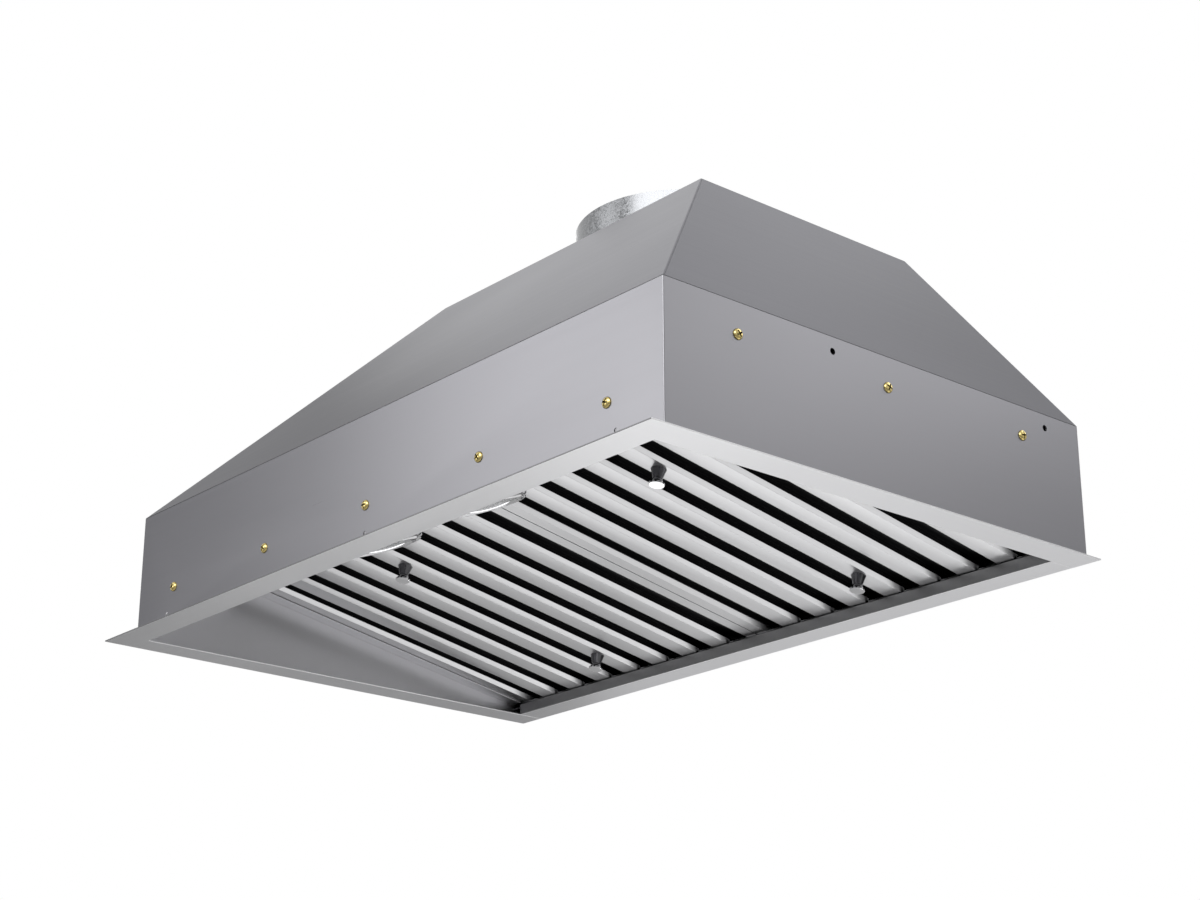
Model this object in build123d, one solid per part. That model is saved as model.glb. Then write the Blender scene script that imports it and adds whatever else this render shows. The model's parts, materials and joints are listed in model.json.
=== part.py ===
from build123d import *
import math
import os

# Range hood insert: a folded steel box with a trim flange round its mouth, a sloped canopy, two
# baffle filters that lift out, a control panel with lamps and buttons, and a centrifugal blower
# that feeds a round duct collar with a two-flap damper.
# Millimetres, +Z up, +X to the right, front at -Y. The origin is the middle of the flange's underside.

# --- flange, body and canopy ---
FLANGE_WIDTH = 762.0
FLANGE_DEPTH = 500.0
SHEET = 1.2
STRIP_SIDE = 29.3
STRIP_REAR = 28.0
OVERHANG_SIDE = 14.0
OVERHANG_FRONT = 25.0
FOLD_Z = 122.5
TOP_Z = 341.5
TOP_HALF_WIDTH = 184.5
TOP_FRONT_Y = -12.0
SKIRT_DEPTH = 40.0
FOLD_GAP = 0.4
WALL_SEAT = 0.2
REAR_LIP_HEIGHT = 11.0
TRIM_SEAM = 0.2
CORNER_RADIUS = 1.0
# How far cutters run past the faces that they cut.
PAST = 1.0
WELL_PAST = 5.0

# --- screws and holes in the walls ---
FRONT_SCREW_PITCH = 152.4
FRONT_SCREW_Z = 41.0
SIDE_SCREW_PITCH = 163.0
SIDE_SCREW_Y = 12.5
SIDE_SCREW_Z = 96.0
SCREW_HEAD_RADIUS = 4.6
SCREW_HEAD_HEIGHT = 2.4
SCREW_DOME = 0.55
SCREW_SHANK_RADIUS = 2.0
SCREW_LENGTH = 6.5
SCREW_HOLE_RADIUS = 2.15
RECESS_LENGTH = 5.2
RECESS_WIDTH = 1.2
RECESS_DEPTH = 1.5
MOUNT_HOLE_RADIUS = 2.75
MOUNT_HOLE_PITCH = 255.0
MOUNT_HOLE_Y = 78.5
MOUNT_HOLE_Z = 110.0
PILOT_HOLE_RADIUS = 1.7
PILOT_HOLE_X = 314.5
PILOT_HOLE_Z = 17.0

# --- filters, measured along their own sloped plane ---
FILTER_TILT = 10.6
FILTER_PLANE_Z = 53.4
FILTER_WIDTH = 350.0
FILTER_GAP = 1.0
FILTER_FRONT = -134.3
FILTER_REAR = 240.0
FILTER_THICK = 11.7
FILTER_SHEET = 0.9
STILE_FLAT = 12.5
STILE_LIFT = 1.7
STILE_LIP_RUN = 3.0
STILE_LIP_RISE = 5.0
BAR_FLAT = 12.0
STRIP_COUNT = 7
STRIP_PITCH = 42.7
FIRST_STRIP = 47.0
STRIP_FLAT = 19.0
STRIP_LIP_RUN = 2.6
STRIP_LIP_RISE = 3.5
CHANNEL_WIDTH = 26.0
CHANNEL_LOW = 4.5
CHANNEL_SETBACK = 1.2
STRIP_TONGUE = 8.0
LIP_STOP = 0.5
EDGE_CHANNEL_START = 17.0
SLIDE_GAP = 0.3
FILTER_POCKET = 23.7
RAIL_HALF_WIDTH = 360.0
RAIL_HEADROOM = 0.6
RAIL_ROOF_END = -118.0
RAIL_SEAM = 0.3
REAR_RAIL_START = 226.0
REAR_RAIL_Z = 8.4
REAR_RAIL_TOP = 32.0
FILLER_GAP = 0.7
FILLER_LIFT = 0.5
FILLER_HEIGHT = 4.5
FILLER_FRONT = -112.0
FILLER_REAR = 226.0

# --- knobs on the filters ---
KNOB_FRONT_Y = -57.0
KNOB_REAR_Y = 178.0
KNOB_BASE_RADIUS = 6.75
KNOB_WAIST_RADIUS = 4.15
KNOB_WAIST_DROP = 9.5
KNOB_DISC_RADIUS = 6.7
KNOB_DISC_THICK = 1.9
KNOB_LENGTH = 15.0
KNOB_BORE_DEPTH = 8.0
KNOB_BORE_GAP = 0.05
KNOB_BASE_BAND = 0.8
KNOB_WAIST_BAND = 0.6
KNOB_WAIST_TAPER = 0.1
KNOB_FLARE_RUN = 0.5
KNOB_FLARE_DROP = 1.2
KNOB_DISC_BREAK = 0.3
KNOB_DISC_ROUND = 0.4

# --- control panel, lamps and buttons ---
PANEL_LOW_Z = 20.5
PANEL_HIGH_Y = -119.0
PANEL_HIGH_Z = 58.6
PANEL_FLANGE_Z = 60.0
PANEL_TAB = 12.0
LAMP_X = 72.3
LAMP_Y = -158.4
BEZEL_RADIUS = 36.0
BEZEL_PROUD = 10.2
BEZEL_ROUND = 4.5
BEZEL_RIM = 2.3
BEZEL_LIP_RADIUS = 26.2
BEZEL_LIP_THICK = 0.8
LAMP_CAN_RADIUS = 27.0
LAMP_CAN_DEPTH = 23.0
LAMP_CAN_WALL = 1.0
LAMP_CAN_GAP = 0.2
LENS_LEVEL = 5.9
LENS_THICK = 1.6
LED_BOARD_RADIUS = 22.0
LED_BOARD_THICK = 1.6
LED_CHIP_RADIUS = 8.0
BUTTON_COUNT = 4
BUTTON_PITCH = 17.0
BUTTON_RADIUS = 6.0
BUTTON_PROUD = 2.0
BUTTON_FLANGE_RADIUS = 7.2
BUTTON_STEM_RADIUS = 2.5
BUTTON_GAP = 0.3
BUTTON_ROUND = 0.7
BUTTON_FLANGE_THICK = 1.2
BUTTON_STEM_ENTRY = 6.0
SWITCH_FACE = 8.0
SWITCH_DEPTH = 16.0
SWITCH_HEIGHT = 24.0
SWITCH_MARGIN = 4.0
SWITCH_FOOT = 2.0
SWITCH_BORE_DEPTH = 10.0
DRIVER_X = (60.0, 150.0)
DRIVER_Z = (84.0, 116.0)
DRIVER_THICK = 22.0
CASE_ROUND = 2.0

# --- duct collar and damper ---
COLLAR_RADIUS = 101.5
COLLAR_Y = 133.0
COLLAR_HEIGHT = 56.5
COLLAR_FLANGE_RADIUS = 112.5
COLLAR_SCREW_SHIFT = 0.5
DAMPER_Z = 352.0
DAMPER_RADIUS = 99.3
DAMPER_SHEET = 1.0
DAMPER_ROD_RADIUS = 2.5
DAMPER_FIT = 0.06
KNUCKLE_RADIUS = 3.7
KNUCKLE_LENGTH = 26.0
KNUCKLE_X = (-77.0, 47.0)
DAMPER_SPLIT = 4.6
STOP_REACH = 7.0
STOP_ROOT = 0.5
STOP_HALF_WIDTH = 6.0
STOP_THICK = 1.0
STOP_GAP = 0.3
ROD_END_GAP = 0.1

# --- blower ---
BLOWER_Z = 195.0
BLOWER_HALF_WIDTH = 72.0
BLOWER_SHEET = 1.0
SCROLL_START = 84.0
SCROLL_END = 104.0
TONGUE_ANGLE = 108
OUTLET_FRONT_Y = 40.0
INLET_RADIUS = 58.0
INLET_RING_RADIUS = 72.0
HANGER_WIDTH = 13.0
HANGER_ROOT = 0.5
HANGER_Y = (50.0, 230.0)
INLET_THROAT_STEP = 1.2
INLET_RING_THICK = 1.0
INLET_RING_BELL = 0.5
WHEEL_RADIUS = 75.5
WHEEL_HALF_WIDTH = 65.0
BLADE_COUNT = 36
BLADE_INNER_RADIUS = 60.0
BLADE_OUTER_RADIUS = 74.6
BLADE_THICK = 0.8
WHEEL_RING_THICK = 2.0
WHEEL_RING_LAP = 0.8
WHEEL_DISC_HALF_THICK = 0.6
BLADE_BELLY = 0.8
BLADE_HOOK = 4.8
BLADE_TIP_STEP = 0.5
MOTOR_RADIUS = 42.0
MOTOR_START = 8.0
MOTOR_ROUND = 5.0
MOTOR_BOSS_RADIUS = 12.0
MOTOR_BOSS_LENGTH = 3.0
MOTOR_BORE_DEPTH = 34.0
SHAFT_RADIUS = 4.0
SHAFT_FIT = 0.05
SHAFT_END = 4.0
SHAFT_ENTRY = 30.0
HUB_RADIUS = 10.0
HUB_LENGTH = 16.0
HUB_CHAMFER = 1.0
BRACKET_THICK = 1.5
BRACKET_ARM_WIDTH = 10.0
BRACKET_ARMS = 3
BRACKET_HUB_STEP = 6.0
BRACKET_END_STEP = 2.0

# --- wiring parts ---
CABLE_HOLE_RADIUS = 13.0
CABLE_BORE_RADIUS = 11.0
JUNCTION_X = -130.0
JUNCTION_Y = 205.0
JUNCTION_SIZE = 70.0
JUNCTION_DEPTH = 48.0
JUNCTION_WALL = 1.0
BUSH_UNDER = 3.0
BUSH_RIM = 3.0
BUSH_RIM_THICK = 2.0
BUSH_TOP = 6.0
CAPACITOR_RADIUS = 16.0
CAPACITOR_Y = (62.0, 122.0)

half_flange = FLANGE_WIDTH / 2
half_depth = FLANGE_DEPTH / 2
body_x = half_flange - OVERHANG_SIDE
body_front = -half_depth + OVERHANG_FRONT
inner_x = body_x - SHEET
inner_front = body_front + SHEET
inner_rear = half_depth - SHEET
wall_foot = SHEET - WALL_SEAT
mouth_x = half_flange - STRIP_SIDE
mouth_rear = half_depth - STRIP_REAR

tilt = math.radians(FILTER_TILT)
filter_frame = Plane(
    origin=(0, 0, FILTER_PLANE_Z), x_dir=(1, 0, 0), z_dir=(0, math.sin(tilt), math.cos(tilt))
).location
panel_tilt = math.atan2(PANEL_HIGH_Z - PANEL_LOW_Z, PANEL_HIGH_Y - inner_front)
lamp_z = PANEL_LOW_Z + (LAMP_Y - inner_front) * math.tan(panel_tilt)
panel_frame = Plane(
    origin=(0, LAMP_Y, lamp_z),
    x_dir=(1, 0, 0),
    z_dir=(0, math.sin(panel_tilt), -math.cos(panel_tilt)),
).location


def block(x_range, y_range, z_range):
    """A box between two values on each axis."""
    size = [high - low for low, high in (x_range, y_range, z_range)]
    middle = [(high + low) / 2 for low, high in (x_range, y_range, z_range)]
    return Pos(*middle) * Box(*size)


def folded_section(points, thickness):
    """The closed outline of a sheet that bends along these points, thickened to their left."""
    normals = []
    for start, end in zip(points, points[1:]):
        length = math.dist(start, end)
        normals.append(((start[1] - end[1]) / length, (end[0] - start[0]) / length))
    shifted = []
    for index, point in enumerate(points):
        before = normals[max(index - 1, 0)]
        after = normals[min(index, len(normals) - 1)]
        scale = thickness / (1 + before[0] * after[0] + before[1] * after[1])
        shifted.append(
            (point[0] + scale * (before[0] + after[0]), point[1] + scale * (before[1] + after[1]))
        )
    return make_face(Polyline(*points, *reversed(shifted), close=True))


def along_x(face, low, high):
    """A section drawn in Y and Z, pulled along X."""
    return extrude(Plane.YZ.offset(low) * face, high - low)


def along_y(face, low, high):
    """A section drawn in X and Z, pulled along Y."""
    start = Plane(origin=(0, low, 0), x_dir=(1, 0, 0), z_dir=(0, -1, 0))
    return extrude(start * face, low - high)


def rod_x(radius, low, high, y, z):
    return Pos((low + high) / 2, y, z) * Rot(0, 90, 0) * Cylinder(radius, high - low)


def rod_y(radius, low, high, x, z):
    return Pos(x, (low + high) / 2, z) * Rot(90, 0, 0) * Cylinder(radius, high - low)


def rod_z(radius, low, high, x=0, y=0):
    return Pos(x, y, (low + high) / 2) * Cylinder(radius, high - low)


def turned(points):
    """A solid of revolution about Z from points of radius and height."""
    return revolve(Plane.XZ * make_face(Polyline(*points, close=True)), Axis.Z)


def mirrored(shape):
    return mirror(shape, Plane.YZ)


def pan_screw(length):
    """A cross-recess pan screw along Z, its head above zero and its shank below."""
    head = rod_z(SCREW_HEAD_RADIUS, 0, SCREW_HEAD_HEIGHT)
    head = fillet(head.edges().group_by(Axis.Z)[-1], SCREW_HEAD_HEIGHT * SCREW_DOME)
    recess_z = (SCREW_HEAD_HEIGHT - RECESS_DEPTH, SCREW_HEAD_HEIGHT + PAST)
    long_way = (-RECESS_LENGTH / 2, RECESS_LENGTH / 2)
    short_way = (-RECESS_WIDTH / 2, RECESS_WIDTH / 2)
    head -= block(long_way, short_way, recess_z)
    head -= block(short_way, long_way, recess_z)
    return head + rod_z(SCREW_SHANK_RADIUS, -length, 0)


def front_screw_places():
    return [(index * FRONT_SCREW_PITCH, FRONT_SCREW_Z) for index in range(-2, 3)]


def side_screw_places():
    return [(SIDE_SCREW_Y + index * SIDE_SCREW_PITCH, SIDE_SCREW_Z) for index in (-1, 0, 1)]


def mount_hole_places():
    half = MOUNT_HOLE_PITCH / 2
    return [(MOUNT_HOLE_Y - half, MOUNT_HOLE_Z), (MOUNT_HOLE_Y + half, MOUNT_HOLE_Z)]


# --- trim and walls ---
def trim_frame():
    """Flange strips of the front and both sides, with a shallow seat that the walls stand in."""
    plate = block((-half_flange, half_flange), (-half_depth, half_depth), (0, SHEET))
    plate -= block((-body_x, body_x), (body_front, half_depth + PAST), (wall_foot, SHEET + PAST))
    mouth_front = -half_depth + STRIP_SIDE
    plate -= block((-mouth_x, mouth_x), (mouth_front, half_depth + PAST), (-PAST, SHEET + PAST))
    return plate


def trim_rear():
    """Rear flange strip, folded up into a lip behind which the filters rest."""
    outer = [(half_depth, 0), (mouth_rear, 0), (mouth_rear, REAR_LIP_HEIGHT)]
    face = folded_section(list(reversed(outer)), SHEET)
    return along_x(face, -mouth_x + TRIM_SEAM, mouth_x - TRIM_SEAM)


def front_panel():
    panel = block((-body_x, body_x), (body_front, inner_front), (wall_foot, FOLD_Z - FOLD_GAP))
    corner = panel.edges().filter_by(Axis.Z).group_by(Axis.Y)[0]
    panel = fillet(corner, CORNER_RADIUS)
    for x, z in front_screw_places():
        panel -= rod_y(SCREW_HOLE_RADIUS, body_front - PAST, inner_front + PAST, x, z)
    for x in (-PILOT_HOLE_X, 0, PILOT_HOLE_X):
        panel -= rod_y(PILOT_HOLE_RADIUS, body_front - PAST, inner_front + PAST, x, PILOT_HOLE_Z)
    return panel


def side_holes():
    """Cutters for the screw and mounting holes of the right-hand wall."""
    low = inner_x - WELL_PAST
    high = body_x + PAST
    cutters = [rod_x(SCREW_HOLE_RADIUS, low, high, y, z) for y, z in side_screw_places()]
    cutters += [rod_x(MOUNT_HOLE_RADIUS, low, high, y, z) for y, z in mount_hole_places()]
    return cutters


def right_panel():
    panel = block((inner_x, body_x), (inner_front, inner_rear), (wall_foot, FOLD_Z - FOLD_GAP))
    return panel - side_holes()


def rear_panel():
    """Flat rear wall, as high as the canopy's top."""
    outline = Polyline(
        (-body_x, SHEET),
        (body_x, SHEET),
        (body_x, FOLD_Z),
        (TOP_HALF_WIDTH, TOP_Z),
        (-TOP_HALF_WIDTH, TOP_Z),
        (-body_x, FOLD_Z),
        close=True,
    )
    return along_y(make_face(outline), inner_rear, half_depth)


# --- canopy ---
def slope_section(low, high):
    """A canopy sheet's section, as distance outwards and height, with its skirt inside the wall."""
    run = low - high
    rise = TOP_Z - FOLD_Z
    length = math.hypot(run, rise)
    inner_low = low - rise * SHEET / length
    inner_drop = FOLD_Z - run * SHEET / length
    skirt_outer = low - SHEET
    skirt_inner = low - 2 * SHEET
    bend_z = inner_drop + (inner_low - skirt_inner) * rise / run
    inner_high = inner_low - (TOP_Z - inner_drop) * run / rise
    outline = Polyline(
        (high, TOP_Z),
        (low, FOLD_Z),
        (skirt_outer, FOLD_Z),
        (skirt_outer, FOLD_Z - SKIRT_DEPTH),
        (skirt_inner, FOLD_Z - SKIRT_DEPTH),
        (skirt_inner, bend_z),
        (inner_high, TOP_Z),
        close=True,
    )
    return make_face(outline)


def canopy_envelope():
    """The space that the canopy and its skirt may fill."""
    side_on = Polyline(
        (body_front, FOLD_Z), (inner_rear, FOLD_Z), (inner_rear, TOP_Z), (TOP_FRONT_Y, TOP_Z), close=True
    )
    end_on = Polyline(
        (-body_x, FOLD_Z), (body_x, FOLD_Z), (TOP_HALF_WIDTH, TOP_Z), (-TOP_HALF_WIDTH, TOP_Z), close=True
    )
    hood = along_x(make_face(side_on), -body_x, body_x)
    hood &= along_y(make_face(end_on), body_front, inner_rear)
    skirt = block((-inner_x, inner_x), (inner_front, inner_rear), (FOLD_Z - SKIRT_DEPTH, FOLD_Z))
    return hood + skirt


def canopy_sheets():
    """Front, left, right and top sheets of the canopy, in that order."""
    envelope = canopy_envelope()
    facing_front = Plane(origin=(-body_x, 0, 0), x_dir=(0, -1, 0), z_dir=(-1, 0, 0))
    front = extrude(facing_front * slope_section(-body_front, -TOP_FRONT_Y), -2 * body_x) & envelope
    right = along_y(slope_section(body_x, TOP_HALF_WIDTH), body_front, inner_rear) & envelope
    right -= front
    right -= side_holes()
    left = mirrored(right)
    top = block((-TOP_HALF_WIDTH, TOP_HALF_WIDTH), (TOP_FRONT_Y, inner_rear), (TOP_Z - SHEET, TOP_Z))
    top -= [front, left, right]
    low = TOP_Z - WELL_PAST
    high = TOP_Z + WELL_PAST
    top -= rod_z(COLLAR_RADIUS - SHEET, low, high, 0, COLLAR_Y)
    top -= rod_z(CABLE_HOLE_RADIUS, low, high, JUNCTION_X, JUNCTION_Y)
    for x, y in collar_screw_places():
        top -= rod_z(SCREW_HOLE_RADIUS, low, high, x, y)
    return front, left, right, top


def collar_screw_places():
    radius = (COLLAR_RADIUS + COLLAR_FLANGE_RADIUS) / 2 + COLLAR_SCREW_SHIFT
    places = []
    for index in range(4):
        turn = math.radians(45 + 90 * index)
        places.append((radius * math.cos(turn), COLLAR_Y + radius * math.sin(turn)))
    return places


# --- filter rails ---
def control_panel():
    """Sloped lamp panel, with a flange up the front wall and a fold that carries the front rail."""
    rail_under = -SLIDE_GAP - SHEET
    along = (PANEL_HIGH_Y - rail_under * math.sin(tilt)) / math.cos(tilt)
    tab_z = FILTER_PLANE_Z - along * math.sin(tilt) + rail_under * math.cos(tilt)
    tab_end = (PANEL_HIGH_Y - PANEL_TAB * math.cos(tilt), tab_z + PANEL_TAB * math.sin(tilt))
    path = [
        (inner_front, PANEL_FLANGE_Z),
        (inner_front, PANEL_LOW_Z),
        (PANEL_HIGH_Y, PANEL_HIGH_Z),
        (PANEL_HIGH_Y, tab_z),
        tab_end,
    ]
    panel = along_x(folded_section(path, SHEET), -inner_x, inner_x)
    for x in (-LAMP_X, LAMP_X):
        panel -= panel_frame * rod_z(LAMP_CAN_RADIUS + LAMP_CAN_GAP, -WELL_PAST, WELL_PAST, x)
    for x in button_places():
        panel -= panel_frame * rod_z(BUTTON_RADIUS + BUTTON_GAP, -WELL_PAST, WELL_PAST, x)
    for x, z in front_screw_places():
        panel -= rod_y(SCREW_HOLE_RADIUS, inner_front - PAST, inner_front + WELL_PAST, x, z)
    return panel


def filter_rail_front():
    """Channel across the front, deep enough for the filters to slide into."""
    low = -SLIDE_GAP - SHEET
    high = FILTER_THICK + RAIL_HEADROOM + SHEET
    front = FILTER_FRONT - FILTER_POCKET
    rear_low = PANEL_HIGH_Y / math.cos(tilt) + RAIL_SEAM
    path = [(RAIL_ROOF_END, high), (front, high), (front, low), (rear_low, low)]
    return filter_frame * along_x(folded_section(path, SHEET), -RAIL_HALF_WIDTH, RAIL_HALF_WIDTH)


def filter_rail_rear():
    """Angle on the rear wall under the filters' rear ends."""
    path = [(REAR_RAIL_START, REAR_RAIL_Z), (inner_rear, REAR_RAIL_Z), (inner_rear, REAR_RAIL_TOP)]
    return along_x(folded_section(path, SHEET), -inner_x, inner_x)


def filler_right():
    """Angle that fills the gap between a filter and the side wall."""
    edge = FILTER_GAP / 2 + FILTER_WIDTH + FILLER_GAP
    path = [(edge, FILLER_LIFT), (inner_x, FILLER_LIFT), (inner_x, FILLER_LIFT + FILLER_HEIGHT)]
    return filter_frame * along_y(folded_section(path, SHEET), FILLER_FRONT, FILLER_REAR)


# --- screws ---
def front_screws():
    facing = Rot(90, 0, 0)
    places = [Pos(x, body_front, z) for x, z in front_screw_places()]
    return Compound(children=[place * facing * pan_screw(SCREW_LENGTH) for place in places])


def side_screws():
    screws = []
    for y, z in side_screw_places():
        screws.append(Pos(body_x, y, z) * Rot(0, 90, 0) * pan_screw(SCREW_LENGTH))
        screws.append(Pos(-body_x, y, z) * Rot(0, -90, 0) * pan_screw(SCREW_LENGTH))
    return Compound(children=screws)


def collar_screws():
    level = TOP_Z + SHEET
    return Compound(children=[Pos(x, y, level) * pan_screw(SCREW_LENGTH) for x, y in collar_screw_places()])


# --- lamps ---
def lamp_bezel():
    """Rounded chrome ring about Z, zero at the panel's face."""
    seat = LAMP_CAN_RADIUS + LAMP_CAN_GAP
    lip = LENS_LEVEL + LENS_THICK
    crown_start = (BEZEL_RADIUS, BEZEL_PROUD - BEZEL_ROUND)
    crown_end = (BEZEL_RADIUS - BEZEL_ROUND, BEZEL_PROUD)
    face_end = (BEZEL_RADIUS - BEZEL_ROUND - BEZEL_RIM, BEZEL_PROUD)
    ring = Polyline((seat, 0), (BEZEL_RADIUS, 0), crown_start)
    ring += RadiusArc(crown_start, crown_end, -BEZEL_ROUND)
    lip_top = (BEZEL_LIP_RADIUS, lip + BEZEL_LIP_THICK)
    ring += Polyline(crown_end, face_end, lip_top)
    ring += Polyline(lip_top, (BEZEL_LIP_RADIUS, lip), (seat, lip), (seat, 0))
    return revolve(Plane.XZ * make_face(ring), Axis.Z)


def lamp_can():
    """Cup that holds the lens at its mouth and the light board at its end."""
    inner = LAMP_CAN_RADIUS - LAMP_CAN_WALL
    cup = rod_z(LAMP_CAN_RADIUS, -LAMP_CAN_DEPTH, LENS_LEVEL)
    return cup - rod_z(inner, -LAMP_CAN_DEPTH + LAMP_CAN_WALL, LENS_LEVEL + PAST)


def lamp_lens():
    return rod_z(LAMP_CAN_RADIUS, LENS_LEVEL, LENS_LEVEL + LENS_THICK)


def led_board():
    floor = -LAMP_CAN_DEPTH + LAMP_CAN_WALL
    board = rod_z(LED_BOARD_RADIUS, floor, floor + LED_BOARD_THICK)
    return board + rod_z(LED_CHIP_RADIUS, floor + LED_BOARD_THICK, floor + 2 * LED_BOARD_THICK)


def lamp_pair(shape):
    return Compound(children=[panel_frame * Pos(x, 0, 0) * shape for x in (-LAMP_X, LAMP_X)])


# --- buttons and switch block ---
def button_places():
    middle = (BUTTON_COUNT - 1) / 2
    return [(index - middle) * BUTTON_PITCH for index in range(BUTTON_COUNT)]


def push_button(x):
    """Cap through the panel, a flange that holds it in behind, and a stem into the switch."""
    flange_top = -SHEET - BUTTON_GAP
    cap = rod_z(BUTTON_RADIUS, flange_top, BUTTON_PROUD)
    flange_under = flange_top - BUTTON_FLANGE_THICK
    cap = fillet(cap.edges().group_by(Axis.Z)[-1], BUTTON_ROUND)
    cap += rod_z(BUTTON_FLANGE_RADIUS, flange_under, flange_top)
    cap += rod_z(BUTTON_STEM_RADIUS, -SWITCH_FACE - BUTTON_STEM_ENTRY, flange_under)
    return panel_frame * Pos(x, 0, 0) * cap


def switch_block():
    """Switch body under the buttons, on two feet that reach the panel's back."""
    half = BUTTON_PITCH * (BUTTON_COUNT - 1) / 2 + BUTTON_RADIUS + SWITCH_MARGIN
    tall = SWITCH_HEIGHT / 2
    body = block((-half, half), (-tall, tall), (-SWITCH_FACE - SWITCH_DEPTH, -SWITCH_FACE))
    body += block((-half, -half + SWITCH_FOOT), (-tall, tall), (-SWITCH_FACE, -SHEET))
    body += block((half - SWITCH_FOOT, half), (-tall, tall), (-SWITCH_FACE, -SHEET))
    bore_end = -SWITCH_FACE - SWITCH_BORE_DEPTH
    for x in button_places():
        body -= rod_z(BUTTON_STEM_RADIUS + BUTTON_GAP, bore_end, -SWITCH_FACE + PAST, x)
    return panel_frame * body


def lamp_driver():
    """Power supply of the lamps, on the front skirt."""
    back = inner_front + SHEET
    case = block(DRIVER_X, (back, back + DRIVER_THICK), DRIVER_Z)
    return fillet(case.edges().group_by(Axis.Y)[-1], CASE_ROUND)


# --- duct collar and damper ---
def duct_collar():
    """Tube with a base flange, two stop tabs and the holes of the damper's rod."""
    inner = COLLAR_RADIUS - SHEET
    top = TOP_Z + COLLAR_HEIGHT
    collar = turned(
        [
            (inner, TOP_Z),
            (COLLAR_FLANGE_RADIUS, TOP_Z),
            (COLLAR_FLANGE_RADIUS, TOP_Z + SHEET),
            (COLLAR_RADIUS, TOP_Z + SHEET),
            (COLLAR_RADIUS, top),
            (inner, top),
        ]
    )
    stop_top = DAMPER_Z - DAMPER_SHEET / 2 - STOP_GAP
    for side in (-1, 1):
        reach = sorted((side * (inner - STOP_REACH), side * (inner + STOP_ROOT)))
        collar += block((-STOP_HALF_WIDTH, STOP_HALF_WIDTH), reach, (stop_top - STOP_THICK, stop_top))
    half_bore = COLLAR_RADIUS + PAST
    collar -= rod_x(DAMPER_ROD_RADIUS + DAMPER_FIT, -half_bore, half_bore, 0, DAMPER_Z)
    collar = Pos(0, COLLAR_Y, 0) * collar
    for x, y in collar_screw_places():
        collar -= rod_z(SCREW_HOLE_RADIUS, TOP_Z - PAST, TOP_Z + SHEET + PAST, x, y)
    return collar


def damper_rod():
    half = COLLAR_RADIUS - ROD_END_GAP
    return rod_x(DAMPER_ROD_RADIUS, -half, half, COLLAR_Y, DAMPER_Z)


def damper_flap(side):
    """Half disc on one side of the rod, rolled round it in two knuckles."""
    plate = rod_z(DAMPER_RADIUS, -DAMPER_SHEET / 2, DAMPER_SHEET / 2)
    wide = DAMPER_RADIUS + PAST
    near = sorted((side * DAMPER_SPLIT, -side * wide))
    plate -= block((-wide, wide), near, (-WELL_PAST, WELL_PAST))
    for middle in KNUCKLE_X:
        x = -side * middle
        low = x - KNUCKLE_LENGTH / 2
        high = x + KNUCKLE_LENGTH / 2
        plate += rod_x(KNUCKLE_RADIUS, low, high, 0, 0)
        web = sorted((0, side * (DAMPER_SPLIT + PAST)))
        plate += block((low, high), web, (-DAMPER_SHEET / 2, DAMPER_SHEET / 2))
    plate -= rod_x(DAMPER_ROD_RADIUS + DAMPER_FIT, -wide, wide, 0, 0)
    return Pos(0, COLLAR_Y, DAMPER_Z) * plate


# --- blower casing ---
def scroll_path():
    """The scroll's inner line, from the top of its rear wall round to the top of its front wall."""
    roof = TOP_Z - SHEET
    points = [(COLLAR_Y + SCROLL_END, roof)]
    sweep = 360 - TONGUE_ANGLE
    steps = 36
    for index in range(steps + 1):
        part = index / steps
        turn = math.radians(360 - part * sweep)
        radius = SCROLL_END + (SCROLL_START - SCROLL_END) * part
        points.append((COLLAR_Y + radius * math.cos(turn), BLOWER_Z + radius * math.sin(turn)))
    points.append((OUTLET_FRONT_Y, roof))
    return points


def blower_wrap():
    side = BLOWER_HALF_WIDTH - BLOWER_SHEET
    wrap = along_x(folded_section(scroll_path(), BLOWER_SHEET), -side, side)
    return wrap & block((-side, side), (-half_depth, half_depth), (0, TOP_Z - SHEET))


def blower_side():
    """Right-hand side plate of the scroll, with its inlet hole and a hanger flange at the top."""
    low = BLOWER_HALF_WIDTH - BLOWER_SHEET
    outline = make_face(Polyline(*scroll_path(), close=True))
    plate = along_x(outline, low, BLOWER_HALF_WIDTH)
    plate += along_x(folded_section(scroll_path(), BLOWER_SHEET), low, BLOWER_HALF_WIDTH)
    roof = TOP_Z - SHEET
    plate &= block((low, BLOWER_HALF_WIDTH), (-half_depth, half_depth), (0, roof))
    hanger = (BLOWER_HALF_WIDTH - HANGER_ROOT, BLOWER_HALF_WIDTH + HANGER_WIDTH)
    plate += block(hanger, HANGER_Y, (roof - BLOWER_SHEET, roof))
    for x, y in collar_screw_places():
        plate -= rod_z(SCREW_HOLE_RADIUS, roof - WELL_PAST, roof + WELL_PAST, x, y)
    return plate - rod_x(INLET_RADIUS, low - PAST, BLOWER_HALF_WIDTH + PAST, COLLAR_Y, BLOWER_Z)


def about_fan(shape):
    """Put a shape made about Z on the fan's axis, its Z along +X."""
    return Pos(0, COLLAR_Y, BLOWER_Z) * Rot(0, 90, 0) * shape


def inlet_ring():
    """Bell mouth round the right-hand inlet."""
    face = BLOWER_HALF_WIDTH
    outer = face + INLET_RING_THICK
    inner_end = WHEEL_HALF_WIDTH + INLET_RING_THICK
    throat = INLET_RADIUS - INLET_THROAT_STEP
    neck = throat + INLET_RING_THICK
    return about_fan(
        turned(
            [
                (throat, inner_end),
                (neck, inner_end),
                (neck, face),
                (INLET_RING_RADIUS, face),
                (INLET_RING_RADIUS, outer),
                (neck + INLET_RING_BELL, outer),
                (throat, face - INLET_RING_BELL),
            ]
        )
    )


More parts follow.
